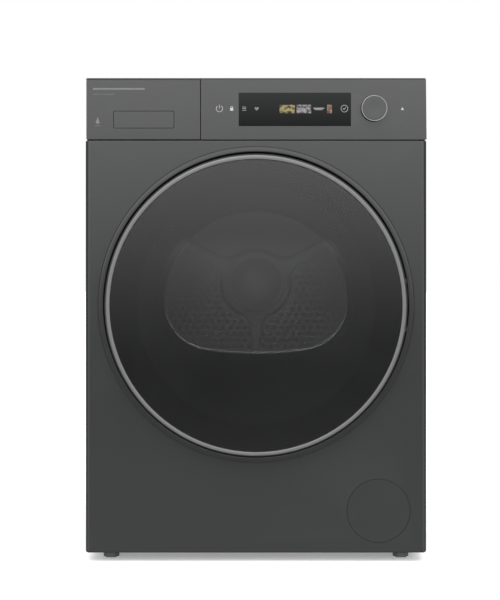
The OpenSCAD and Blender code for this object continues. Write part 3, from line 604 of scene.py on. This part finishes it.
def collar_profiles(sheet):
    """Front and back sections of the grooved collar and the recess wall, as (radius, depth) points."""
    groove, ledge = 2.2 * MM, 0.8 * MM
    front_profile = [(RECESS_R + 0.9 * MM, 0.0), (RECESS_R + 0.55 * MM, 0.25 * MM), (RECESS_R + 0.5 * MM, 0.8 * MM),
                     (RECESS_R + 0.5 * MM, groove), (RECESS_R - 0.5 * MM, groove),
                     (RECESS_R - 0.55 * MM, ledge + 0.35 * MM), (RECESS_R - 1.0 * MM, ledge + 0.08 * MM),
                     (RECESS_R - 2.5 * MM, ledge), (RECESS_WALL_R + 2.0 * MM, ledge - 0.12 * MM),
                     (RECESS_WALL_R + 0.8 * MM, ledge), (RECESS_WALL_R + 0.2 * MM, ledge + 0.4 * MM),
                     (RECESS_WALL_R, ledge + 1.2 * MM), (RECESS_WALL_R, RECESS_DEPTH - 3 * MM),
                     (RECESS_WALL_R - 1 * MM, RECESS_DEPTH - 0.9 * MM), (RECESS_WALL_R - 3 * MM, RECESS_DEPTH)]
    back_profile = [(RECESS_R + 1.7 * MM, sheet), (RECESS_R + 1.7 * MM, groove + sheet),
                    (RECESS_R - 1.7 * MM, groove + sheet), (RECESS_R - 1.7 * MM, ledge + sheet),
                    (RECESS_WALL_R + sheet, ledge + sheet), (RECESS_WALL_R + sheet, RECESS_DEPTH + sheet)]
    return front_profile, back_profile


def make_front_sheet():
    """The folded front sheet: rolled edges, and a grooved flat collar round the recess that holds the door."""
    bm = bmesh.new()
    sheet = 1.2 * MM
    back = PANEL_LOW[1] + 24 * MM
    outer = sheet_skin(bm, 0.0, back)
    inner = sheet_skin(bm, sheet, back)
    for loops in (outer, inner):
        for a, b in zip(loops, loops[1:]):
            bridge(bm, a, b)
    bridge(bm, outer[-1], inner[-1])

    segments = 240
    front_profile, back_profile = collar_profiles(sheet)
    front_rings = [loop_at(bm, circle(AXIS_X, AXIS_Z, r, segments), FRONT_Y + u) for r, u in front_profile]
    back_rings = [loop_at(bm, circle(AXIS_X, AXIS_Z, r, segments), FRONT_Y + u) for r, u in back_profile]
    for rings in (front_rings, back_rings):
        for a, b in zip(rings, rings[1:]):
            bridge(bm, a, b)

    fill_recess_floor(bm, front_rings[-1], back_rings[-1], sheet)

    # the flat face, with the hole for the round access cover
    hole = circle(COVER_X, COVER_Z, COVER_R + 0.8 * MM, 120)
    hole_front = loop_at(bm, hole, FRONT_Y)
    hole_back = loop_at(bm, hole, FRONT_Y + sheet)
    bridge(bm, hole_front, hole_back)
    fill_flat(bm, [outer[0], front_rings[0], hole_front])
    fill_flat(bm, [inner[0], back_rings[0], hole_back])

    # a strip on the top flange, which closes the seam below the fascia
    strip = rounded_rect(PANEL_LOW[0] + 12 * MM, PANEL_HIGH[2] - 0.3 * MM, PANEL_HIGH[0] - 12 * MM,
                         FASCIA_LOW[2] - 0.05 * MM, 0.2 * MM, 2)
    merge_into(bm, slab(strip, FRONT_Y + 14 * MM, FRONT_Y + 20 * MM))

    obj = add_object("front_sheet", bm, "root")
    obj.data.materials.append(PAINT)
    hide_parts("front_panel")


# ---------- fascia ----------


def make_fascia():
    """Right-hand fascia shell with the openings for the window and the dial."""
    x0, y0, z0 = FASCIA_LOW
    x1, y1, z1 = FASCIA_HIGH
    wall = 3 * MM
    window = rounded_rect(WINDOW_LOW[0] - 0.2 * MM, WINDOW_LOW[2] - 0.2 * MM, WINDOW_HIGH[0] + 0.2 * MM,
                          WINDOW_HIGH[2] + 0.2 * MM, 1.0 * MM, 3)
    dial = circle(DIAL_X, DIAL_Z, DIAL_R + 0.5 * MM, 96)
    outline = [(x0, z0), (x1, z0), (x1 - 1.0 * MM, z1), (x0, z1)]
    shell("fascia_shell", outline, y0, y1, wall, [window, dial], "root", "control_fascia")


def shell(name, outline, y0, y1, wall, holes, body, node):
    """A tray-shaped moulding, open at the back, with rounded front edges and holes in its face."""
    bm = bmesh.new()
    outline = soften(outline, 1.6 * MM)
    loops = []
    edge = 0.5 * MM
    for i in range(5):
        a = math.pi / 2 * i / 4
        loops.append(loop_at(bm, shrink(outline, edge * (1 - math.sin(a))), y0 + edge * (1 - math.cos(a))))
    loops.append(loop_at(bm, outline, y1))
    loops.append(loop_at(bm, shrink(outline, wall), y1))
    loops.append(loop_at(bm, shrink(outline, wall), y0 + wall))
    for a, b in zip(loops, loops[1:]):
        bridge(bm, a, b)
    fronts = [loops[0]]
    backs = [loops[-1]]
    for hole in holes:
        front = loop_at(bm, hole, y0)
        back = loop_at(bm, hole, y0 + wall)
        bridge(bm, front, back)
        fronts.append(front)
        backs.append(back)
    fill_flat(bm, fronts)
    fill_flat(bm, backs)
    obj = add_object(name, bm, body)
    obj.data.materials.append(FASCIA)
    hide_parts(node)


def soften(corners, radius):
    """Rounds an outline's corners."""
    steps = 4
    points = []
    n = len(corners)
    for i in range(n):
        p = Vector(corners[i])
        before = (Vector(corners[i - 1]) - p).normalized()
        after = (Vector(corners[(i + 1) % n]) - p).normalized()
        for k in range(steps + 1):
            t = k / steps
            a = p + before * radius * (1 - t) ** 2 + after * radius * t**2
            points.append((a.x, a.y))
    return points


def shrink(outline, inset):
    """Moves an outline inwards by an inset, keeping its point count."""
    xs = [p[0] for p in outline]
    zs = [p[1] for p in outline]
    cx = (min(xs) + max(xs)) / 2
    cz = (min(zs) + max(zs)) / 2
    fx = 1 - inset / ((max(xs) - min(xs)) / 2)
    fz = 1 - inset / ((max(zs) - min(zs)) / 2)
    return [(cx + (x - cx) * fx, cz + (z - cz) * fz) for x, z in outline]


def make_tank_front():
    """The drawer's front with the pocket that the grip flap closes."""
    x0, y0, z0 = TANK_LOW
    x1, z1 = TANK_HIGH[0], TANK_HIGH[2]
    flap_low, flap_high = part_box("tank_flap")
    centre = (flap_low[0] + flap_high[0]) / 2
    gap = 0.9 * MM
    hole = rounded_rect(centre - POCKET_HALF_W, flap_low[2] - gap, centre + POCKET_HALF_W, flap_high[2] + gap, 3 * MM)
    outline = [(x0, z0), (x1, z0), (x1, z1), (x0, z1)]
    shell("drawer_front", outline, y0, y0 + 25.5 * MM, 3 * MM, [hole], "tank", "tank_front")
    pocket = bmesh.new()
    wide = shrink(hole, -4 * MM)
    floor_y = y0 + 34 * MM
    loops = [loop_at(pocket, wide, y0 + 3 * MM), loop_at(pocket, hole, y0 + 3 * MM), loop_at(pocket, hole, floor_y)]
    outer = loop_at(pocket, wide, floor_y + 2 * MM)
    for a, b in zip(loops, loops[1:]):
        bridge(pocket, a, b)
    bridge(pocket, loops[0], outer)
    fill_flat(pocket, [loops[-1]])
    fill_flat(pocket, [outer])
    pocket_obj = add_object("grip_pocket", pocket, "tank")
    pocket_obj.data.materials.append(FASCIA)


def make_dial():
    """The dial: a satin face, a bright narrow rim round its front edge and a plain side wall."""
    y0, y1 = DIAL_LOW[1], FASCIA_LOW[1]
    centre = (DIAL_X, 0, DIAL_Z)
    r = DIAL_R
    face_r = r - 1.5 * MM
    face = [(0.0, y0 + 0.9 * MM), (r * 0.5, y0 + 0.82 * MM), (face_r - 0.6 * MM, y0 + 0.6 * MM),
            (face_r, y0 + 0.9 * MM), (face_r, y0 + 3 * MM), (r - 0.1 * MM, y0 + 3 * MM),
            (r - 0.1 * MM, y1 + 6 * MM), (0.0, y1 + 6 * MM)]
    dial = add_object("dial_body", lathe(face, centre, 160, closed=False), "dial")
    dial.data.materials.append(DIAL)
    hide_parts("dial_knob")
    half = 0.75 * MM
    rim = [(r - half - half * math.cos(math.radians(a)), y0 + half - half * math.sin(math.radians(a)))
           for a in range(0, 181, 15)]
    rim += [(r, y0 + 3.6 * MM), (r - 1.5 * MM, y0 + 3.6 * MM)]
    ring = add_object("dial_rim", lathe(rim, centre, 160), "dial", 60)
    ring.data.materials.append(DIAL_RIM)


# ---------- door ----------


def ring_crest():
    """Section of the satin ring's front: a nearly flat crest beside the glass and a steep outer flank."""
    y_front = RING_LOW[1]
    inner = GLASS_R + 0.3 * MM
    crest = [(inner, 1.1), (inner + 0.2 * MM, 0.5), (inner + 0.7 * MM, 0.2), (inner + 2.0 * MM, 0.1),
             (inner + 4.0 * MM, 0.03), (inner + 5.6 * MM, 0.0), (RING_R - 4.2 * MM, 0.1), (RING_R - 3.3 * MM, 0.4),
             (RING_R - 2.4 * MM, 1.3), (RING_R - 1.5 * MM, 2.9), (RING_R - 0.8 * MM, 5.0), (RING_R - 0.3 * MM, 7.5),
             (RING_R, 10.5)]
    return [(r, y_front + depth * MM) for r, depth in crest]


def fan_mesh(profile, centre, start, end, segments):
    """Turns a closed profile part of the way round, with capped ends; angles in degrees from +X."""
    bm = bmesh.new()
    rings = []
    for i in range(segments + 1):
        a = math.radians(start + (end - start) * i / segments)
        rings.append([bm.verts.new((centre[0] + r * math.cos(a), y, centre[2] + r * math.sin(a))) for r, y in profile])
    for a, b in zip(rings, rings[1:]):
        bridge(bm, a, b)
    bm.faces.new(rings[0])
    bm.faces.new(list(reversed(rings[-1])))
    return bm


def make_ring_object():
    """Full ring in front; its back skirt stops short of the hinge."""
    centre = (AXIS_X, 0, AXIS_Z)
    lip_y = RING_LOW[1] + 11.7 * MM
    crest = ring_crest() + [(RING_R, lip_y), (GLASS_R + 0.3 * MM, lip_y)]
    ring = add_object("trim_ring", lathe(crest, centre, 288), "door", 50)
    ring.data.materials.append(RING)
    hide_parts("door_trim_ring")
    skirt = [(RING_R, lip_y), (RING_R, RING_LOW[1] + 20 * MM), (RING_R - 0.6 * MM, RING_LOW[1] + 22.5 * MM),
             (RING_R - 2.7 * MM, RING_LOW[1] + 22.5 * MM), (RING_R - 2.7 * MM, lip_y)]
    gap = math.degrees(math.asin(HINGE_GAP_HALF / RING_R)) + 0.4
    band = add_object("trim_ring_skirt", fan_mesh(skirt, centre, gap, 360 - gap, 260), "door", 50)
    band.data.materials.append(RING)


def make_glass_border():
    """The black border printed behind the outer part of the glass, which hides the hinge and latch."""
    y = GLASS_HIGH[1] + 0.08 * MM
    border = slab(circle(AXIS_X, AXIS_Z, GLASS_R - 1.5 * MM, 160), y, y + 0.1 * MM,
                  holes=[circle(AXIS_X, AXIS_Z, BORDER_INNER_R, 160)])
    obj = add_object("glass_border", border, "door")
    obj.data.materials.append(BORDER)


# ---------- drum back ----------


def make_drum_back():
    """The dished drum back: domed hub in a raised ring, three ribs, and a sheet with staggered air holes."""
    y = BACK_LOW[1] + 20 * MM
    centre = (0, 0, AXIS_Z)
    hub = [(0.0, y - 20 * MM), (10 * MM, y - 19.8 * MM), (20 * MM, y - 19 * MM), (30 * MM, y - 17 * MM),
           (37 * MM, y - 14 * MM), (41 * MM, y - 10.5 * MM), (43.2 * MM, y - 8.5 * MM), (46 * MM, y - 7.6 * MM),
           (49 * MM, y - 6 * MM), (52 * MM, y - 1.2 * MM), (55 * MM, y), (58 * MM, y), (59.5 * MM, y - 2.5 * MM),
           (62 * MM, y - 5.5 * MM), (65 * MM, y - 6.5 * MM), (68 * MM, y - 5.5 * MM), (70.5 * MM, y - 2.5 * MM),
           (72 * MM, y), (76 * MM, y)]
    hub += [(76 * MM, y + 1.2 * MM), (50 * MM, y + 1.2 * MM), (40 * MM, y - 8 * MM), (0.0, y - 17 * MM)]
    hub_obj = add_object("drum_hub", lathe(hub, centre, 128, closed=False), "drum", 60)
    rim_r = SHELL_HIGH[2] - AXIS_Z - 3.6 * MM
    rim = [(222 * MM, y), (228 * MM, y), (232 * MM, y + 1.6 * MM), (246 * MM, y + 17 * MM), (250 * MM, y + 19.4 * MM),
           (254 * MM, y + 20 * MM), (rim_r, y + 20 * MM), (rim_r, y + 23 * MM), (252 * MM, y + 23 * MM),
           (246 * MM, y + 21 * MM), (230 * MM, y + 4 * MM), (226 * MM, y + 1.2 * MM), (222 * MM, y + 1.2 * MM)]
    rim_obj = add_object("drum_back_rim", lathe(rim, centre, 192), "drum", 60)
    sheet_obj = add_object("drum_back_sheet", perforated_sheet(y), "drum", 30)
    for obj in (hub_obj, rim_obj, sheet_obj):
        obj.data.materials.append(DRUM_BACK)
    ribs = bmesh.new()
    for k in range(3):
        merge_into(ribs, rib_mesh(y, math.radians(270 + 120 * k)))
    rib_obj = add_object("drum_back_ribs", ribs, "drum", 50)
    rib_obj.data.materials.append(DRUM_BACK)
    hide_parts("drum_back")


def rib_mesh(y, angle):
    """A pressed rib from the raised ring round the hub to the rim, flared where it meets the ring."""
    bm = bmesh.new()
    along = Vector((math.cos(angle), 0, math.sin(angle)))
    across = Vector((-math.sin(angle), 0, math.cos(angle)))
    section = [(-1.0, 0.0), (-0.82, -0.45), (-0.6, -0.85), (-0.35, -1.0), (0.35, -1.0), (0.6, -0.85), (0.82, -0.45),
               (1.0, 0.0)]
    rings = []
    for i in range(25):
        t = i / 24
        radius = HUB_RING_R + (SHEET_OUTER_R - HUB_RING_R) * t
        flare = math.exp(-((radius - HUB_RING_R) / (12 * MM)))
        half = (12 + 22 * flare) * MM
        depth = (7 * (1 - max(0.0, (t - 0.9) / 0.1) ** 2 * 0.95)) * MM
        centre = Vector((0, y, AXIS_Z)) + along * radius
        rings.append([bm.verts.new(centre + across * (s * half) + Vector((0, d * depth, 0))) for s, d in section])
    for a, b in zip(rings, rings[1:]):
        for j in range(len(section)):
            k = (j + 1) % len(section)
            bm.faces.new((a[j], a[k], b[k], b[j]))
    bm.faces.new(rings[0])
    bm.faces.new(list(reversed(rings[-1])))
    return bm


def fill_round_hole(bm, verts, cx, cz, y, hole_r):
    """Fills a hexagon of the sheet except for a round hole of twelve sides in its middle."""
    ring = []
    for k in range(12):
        a = math.radians(30 + 30 * k)
        ring.append(bm.verts.new((cx + hole_r * math.cos(a), y, AXIS_Z + cz + hole_r * math.sin(a))))
    for k in range(6):
        j = (k + 1) % 6
        a, b, c = ring[2 * k], ring[2 * k + 1], ring[(2 * k + 2) % 12]
        bm.faces.new((verts[k], verts[j], b))
        bm.faces.new((verts[k], b, a))
        bm.faces.new((verts[j], c, b))


def perforated_sheet(y):
    """A flat ring of sheet with staggered holes, built cell by cell on a triangular grid of hexagons."""
    pitch = 15.5 * MM
    hole_r = 4.1 * MM
    thickness = 4 * MM
    row_step = pitch * math.sqrt(3) / 2
    corner_r = pitch / math.sqrt(3)
    bm = bmesh.new()
    corners = {}

    def corner(x, z):
        """The point at a hexagon's corner, shared by its neighbours."""
        key = (round(x * 1e5), round(z * 1e5))
        if key not in corners:
            corners[key] = bm.verts.new((x, y, AXIS_Z + z))
        return corners[key]

    rows = int(SHEET_OUTER_R / row_step) + 1
    for row in range(-rows, rows + 1):
        cz = row * row_step
        shift = pitch / 2 if row % 2 else 0.0
        for col in range(-rows - 2, rows + 3):
            cx = col * pitch + shift
            reach = math.hypot(cx, cz)
            if reach < SHEET_INNER_R - pitch * 0.3 or reach > SHEET_OUTER_R + pitch * 0.2:
                continue
            verts = []
            for k in range(6):
                a = math.radians(30 + 60 * k)
                verts.append(corner(cx + corner_r * math.cos(a), cz + corner_r * math.sin(a)))
            if reach > SHEET_OUTER_R - pitch * 0.75 or reach < SHEET_INNER_R + pitch * 0.6:
                bm.faces.new(verts)
            else:
                fill_round_hole(bm, verts, cx, cz, y, hole_r)
    solid = bmesh.ops.extrude_face_region(bm, geom=bm.faces[:])
    moved = [g for g in solid["geom"] if isinstance(g, bmesh.types.BMVert)]
    bmesh.ops.translate(bm, verts=moved, vec=(0, thickness, 0))
    return bm


# ---------- display and marks ----------


def plate(name, outlines, y, material, body):
    """Thin raised marks from outlines in the front view."""
    bm = bmesh.new()
    for outline in outlines:
        merge_into(bm, slab(outline, y - MARK_THICKNESS, y))
    obj = add_object(name, bm, body)
    obj.data.materials.append(material)
    return obj


def ring_outline(cx, cz, radius, width, start, end, steps):
    """Outline of an arc-shaped stroke."""
    outer = arc(cx, cz, radius + width / 2, start, end, steps)
    inner = arc(cx, cz, radius - width / 2, end, start, steps)
    return outer + inner


def bar(x0, z0, x1, z1):
    """Outline of a plain rectangle."""
    return [(x0, z0), (x1, z0), (x1, z1), (x0, z1)]


def make_marks():
    """Plain generic marks on the fascia, the display and the drawer."""
    make_fascia_marks()
    make_display_marks()
    make_drawer_marks()


def make_fascia_marks():
    """Power, lock and start marks on the fascia."""
    y = FASCIA_LOW[1]
    line = 0.8 * MM
    z = WINDOW_HIGH[2] - 27.7 * MM
    power_x = WINDOW_LOW[0] - 34.0 * MM
    power = [ring_outline(power_x, z, 5.6 * MM, line, 125, 415, 40),
             bar(power_x - line / 2, z + 0.4 * MM, power_x + line / 2, z + 6.6 * MM)]
    lock_x = WINDOW_LOW[0] - 12.5 * MM
    lock = [ring_outline(lock_x, z + 1.6 * MM, 2.1 * MM, line, 0, 180, 16),
            rounded_rect(lock_x - 2.7 * MM, z - 3.6 * MM, lock_x + 2.7 * MM, z + 1.4 * MM, 0.6 * MM, 2)]
    start_x = DIAL_X + 50 * MM
    start = [[(start_x - 2.6 * MM, z - 2.2 * MM), (start_x + 2.6 * MM, z - 2.2 * MM), (start_x, z + 2.6 * MM)]]
    plate("fascia_marks", power + lock + start, y, MARK, "root")


def make_display_marks():
    """Menu lines, a heart, three picture tiles, two plain bars and a ticked ring."""
    y = WINDOW_LOW[1]
    left = WINDOW_LOW[0]
    z = WINDOW_HIGH[2] - 27.7 * MM
    line = 0.6 * MM
    menu_x = left + 9.4 * MM
    menu = [bar(menu_x - 3.4 * MM, z + d * MM - line / 2, menu_x + 3.4 * MM, z + d * MM + line / 2)
            for d in (-2.9, 0.0, 2.9)]
    tick_x = WINDOW_HIGH[0] - 11.4 * MM
    tick = [[(tick_x - 3.0 * MM, z + 0.2 * MM), (tick_x - 2.5 * MM, z + 0.7 * MM), (tick_x - 0.9 * MM, z - 1.0 * MM),
             (tick_x + 2.6 * MM, z + 2.5 * MM), (tick_x + 3.1 * MM, z + 2.0 * MM), (tick_x - 0.9 * MM, z - 2.0 * MM)],
            ring_outline(tick_x, z, 6.0 * MM, line, 0, 359.5, 48)]
    bars = [bar(left + 131 * MM, z + 0.2 * MM, left + 150 * MM, z + 1.3 * MM),
            bar(left + 133 * MM, z - 2.2 * MM, left + 147 * MM, z - 1.5 * MM)]
    marks = plate("display_marks", menu + tick + bars, y, MARK, "root")
    heart = plate("heart_mark", [heart_outline(left + 31.4 * MM, z, 3.9 * MM)], y, MARK_SOFT, "root")
    tiles = (("tile_left", 71.5, 27.0, TILE_OLIVE), ("tile_right", 101.5, 25.5, TILE_MAUVE),
             ("tile_far", 155.0, 8.5, TILE_BROWN))
    for name, start, width, material in tiles:
        x = left + start * MM
        tile = plate(name, [bar(x, z - 8.0 * MM, x + width * MM, z + 6.8 * MM)], y, material, "root")


def make_drawer_marks():
    """A blank badge bar with a thinner line below it, and a water drop over a short bar."""
    y = TANK_LOW[1]
    left = TANK_LOW[0] + 11.5 * MM
    top = TANK_HIGH[2] - 16 * MM
    badge = [rounded_rect(left, top - 1.4 * MM, left + 91 * MM, top + 1.4 * MM, 0.8 * MM, 3),
             bar(left, top - 9.6 * MM, left + 38 * MM, top - 9.0 * MM)]
    plate("blank_badge", badge, y, MARK_SOFT, "tank")
    drop_x = TANK_LOW[0] + 20 * MM
    drop_z = TANK_LOW[2] + 33 * MM
    drop = [drop_outline(drop_x, drop_z, 6.2 * MM),
            bar(drop_x - 5.5 * MM, drop_z - 9.4 * MM, drop_x + 5.5 * MM, drop_z - 8.7 * MM)]
    plate("water_mark", drop, y, MARK_SOFT, "tank")


def heart_outline(cx, cz, size):
    """Outline of a heart."""
    points = []
    for i in range(40):
        t = 2 * math.pi * i / 40
        x = 16 * math.sin(t) ** 3
        z = 13 * math.cos(t) - 5 * math.cos(2 * t) - 2 * math.cos(3 * t) - math.cos(4 * t)
        points.append((cx - x * size / 17, cz + z * size / 17))
    return points


def drop_outline(cx, cz, size):
    """Outline of a water drop with its tip up."""
    points = arc(cx, cz - size * 0.25, size * 0.62, 205, 335, 16)
    points.append((cx, cz + size))
    return points


# ---------- stage, light and camera ----------


def stops(tree, factor, points, top):
    """A ramp through (place, value) points; places run from -1 to 1 and values are divided by top."""
    shift = tree.nodes.new("ShaderNodeMath")
    shift.operation = "MULTIPLY_ADD"
    shift.inputs[1].default_value = 0.5
    shift.inputs[2].default_value = 0.5
    tree.links.new(factor, shift.inputs[0])
    node = tree.nodes.new("ShaderNodeValToRGB")
    elements = node.color_ramp.elements
    while len(elements) < len(points):
        elements.new(0.5)
    for element, (place, value) in zip(elements, points):
        element.position = place * 0.5 + 0.5
        element.color = (value / top, value / top, value / top, 1.0)
    tree.links.new(shift.outputs[0], node.inputs["Fac"])
    return node.outputs["Color"]


def sums(tree, operation, a, b):
    """Adds or multiplies two values."""
    node = tree.nodes.new("ShaderNodeMath")
    node.operation = operation
    for socket, value in zip(node.inputs, (a, b)):
        if isinstance(value, float):
            socket.default_value = value
        else:
            tree.links.new(value, socket)
    return node.outputs[0]


# Studio brightness by the sine of the elevation: all round, and the wall in front of the machine
AMBIENT = [(-1.0, 0.1), (-0.6, 0.2), (-0.3, 0.55), (-0.185, 0.52), (-0.135, 0.12), (-0.02, 0.1), (0.22, 0.4),
           (0.6, 1.1), (1.0, 1.9)]
FRONT_WALL = [(-1.0, 0.0), (-0.15, 0.0), (-0.085, 0.3), (-0.045, 0.98), (0.0, 1.68), (0.03, 1.95), (0.07, 2.9),
              (0.3, 2.0), (0.6, 0.6), (1.0, 0.0)]
# The wall's brightness by the sine of the azimuth, with a strip box at each side
FRONT_WIDTH = [(-1.0, 0.0), (-0.86, 0.1), (-0.62, 0.6), (-0.4, 1.15), (0.0, 1.0), (0.4, 1.15), (0.62, 0.6),
               (0.86, 0.1), (1.0, 0.0)]
STRIP_HEIGHT = [(-1.0, 0.0), (-0.4, 0.2), (-0.12, 1.1), (0.0, 1.0), (0.3, 0.1), (1.0, 0.0)]
STRIP_WIDTH = [(-1.0, 0.0), (-0.88, 0.0), (-0.74, 1.0), (-0.5, 1.0), (-0.34, 0.0), (0.34, 0.0), (0.5, 1.0),
               (0.74, 1.0), (0.88, 0.0), (1.0, 0.0)]
SKY_TOP = 4.0


def make_stage():
    """A plain pale floor, which isn't part of the dryer."""
    bm = bmesh.new()
    floor_points = [(-6.0, FRONT_Y - 2.0), (6.0, FRONT_Y - 2.0), (6.0, 6.0), (-6.0, 6.0)]
    bm.faces.new([bm.verts.new((x, y, 0.0)) for x, y in floor_points])
    floor = add_object("studio_floor", bm, None)
    n = Nodes("pale floor")
    n.link(n.ramp(n.noise(1.2, 2.0, 0.5), 0.86, 0.9), "Base Color")
    n.set(Roughness=0.9, Specular_IOR_Level=0.1, Emission_Color=(1, 1, 1, 1), Emission_Strength=0.25)
    floor.data.materials.append(n.material)
    floor.visible_glossy = False
    floor.visible_diffuse = False


def make_world():
    """A studio that is seen as plain white and lights softly from the front and above."""
    world = bpy.data.worlds.new("white studio")
    bpy.context.scene.world = world
    world.use_nodes = True
    tree = world.node_tree
    background = tree.nodes["Background"]
    direction = tree.nodes.new("ShaderNodeTexCoord").outputs["Generated"]
    split = tree.nodes.new("ShaderNodeSeparateXYZ")
    tree.links.new(direction, split.inputs[0])
    x, y, z = split.outputs
    facing = tree.nodes.new("ShaderNodeMath")
    facing.operation = "LESS_THAN"
    facing.inputs[1].default_value = 0.0
    tree.links.new(y, facing.inputs[0])
    wall = sums(tree, "MULTIPLY", stops(tree, z, FRONT_WALL, SKY_TOP), stops(tree, x, FRONT_WIDTH, 1.2))
    wall = sums(tree, "MULTIPLY", wall, 1.2)
    strips = sums(tree, "MULTIPLY", stops(tree, z, STRIP_HEIGHT, SKY_TOP), stops(tree, x, STRIP_WIDTH, 1.0))
    ahead = sums(tree, "MULTIPLY", sums(tree, "ADD", wall, strips), facing.outputs[0])
    total = sums(tree, "ADD", ahead, stops(tree, z, AMBIENT, SKY_TOP))
    light = sums(tree, "MULTIPLY", total, SKY_TOP)
    seen = tree.nodes.new("ShaderNodeLightPath").outputs["Is Camera Ray"]
    background.inputs["Color"].default_value = (1.0, 1.0, 1.0, 1.0)
    tree.links.new(sums(tree, "MAXIMUM", light, seen), background.inputs["Strength"])


def softbox(name, place, target, width, height, power):
    """A rectangular area light at a place, aimed at a target."""
    data = bpy.data.lights.new(name, "AREA")
    data.shape = "RECTANGLE"
    data.size = width
    data.size_y = height
    data.energy = power
    light = bpy.data.objects.new(name, data)
    light.location = place
    aim = Vector(target) - Vector(place)
    light.rotation_euler = aim.to_track_quat("-Z", "Y").to_euler()
    bpy.context.scene.collection.objects.link(light)
    return light


def make_lights():
    """Two broad boxes above, in front and behind, and two weak lamps behind the tinted glass."""
    softbox("front box", (-0.6, -2.6, 3.4), (0.0, 0.0, 0.5), 2.4, 1.6, 26)
    softbox("back box", (0.8, 3.2, 3.2), (0.0, 0.0, 0.5), 2.4, 1.6, 60)
    low = (0.0, SHELL_LOW[1] + 0.07, AXIS_Z - 0.15)
    high = (0.0, FRONT_Y, AXIS_Z + 0.11)
    lamps = [softbox("drum lamp", low, (0.0, BACK_LOW[1], AXIS_Z - 0.02), 0.3, 0.04, 0.8),
             softbox("port lamp", high, (0.0, FRONT_Y + 0.03, AXIS_Z - 0.12), 0.24, 0.02, 1.6)]
    for lamp in lamps:
        lamp.visible_camera = False
        lamp.visible_glossy = False


def make_camera():
    """Level camera in front of the dryer; a small shift frames it as the photograph does."""
    data = bpy.data.cameras.new("camera")
    focal_px, image_h = 1480.0, 600.0
    data.sensor_width = 36.0
    data.lens = focal_px / image_h * data.sensor_width
    data.shift_x = -0.01
    data.shift_y = -0.2
    data.clip_end = 60.0
    camera = bpy.data.objects.new("camera", data)
    camera.location = (0.0, FRONT_Y - 2.6, 0.671)
    camera.rotation_euler = (math.radians(90), 0, 0)
    bpy.context.scene.collection.objects.link(camera)
    bpy.context.scene.camera = camera


make_camera()
bpy.context.scene.view_settings.view_transform = "Standard"
dress_cad()
make_front_sheet()
make_fascia()
make_tank_front()
make_dial()
make_ring_object()
make_glass_border()
make_drum_back()
make_marks()
make_stage()
make_world()
make_lights()
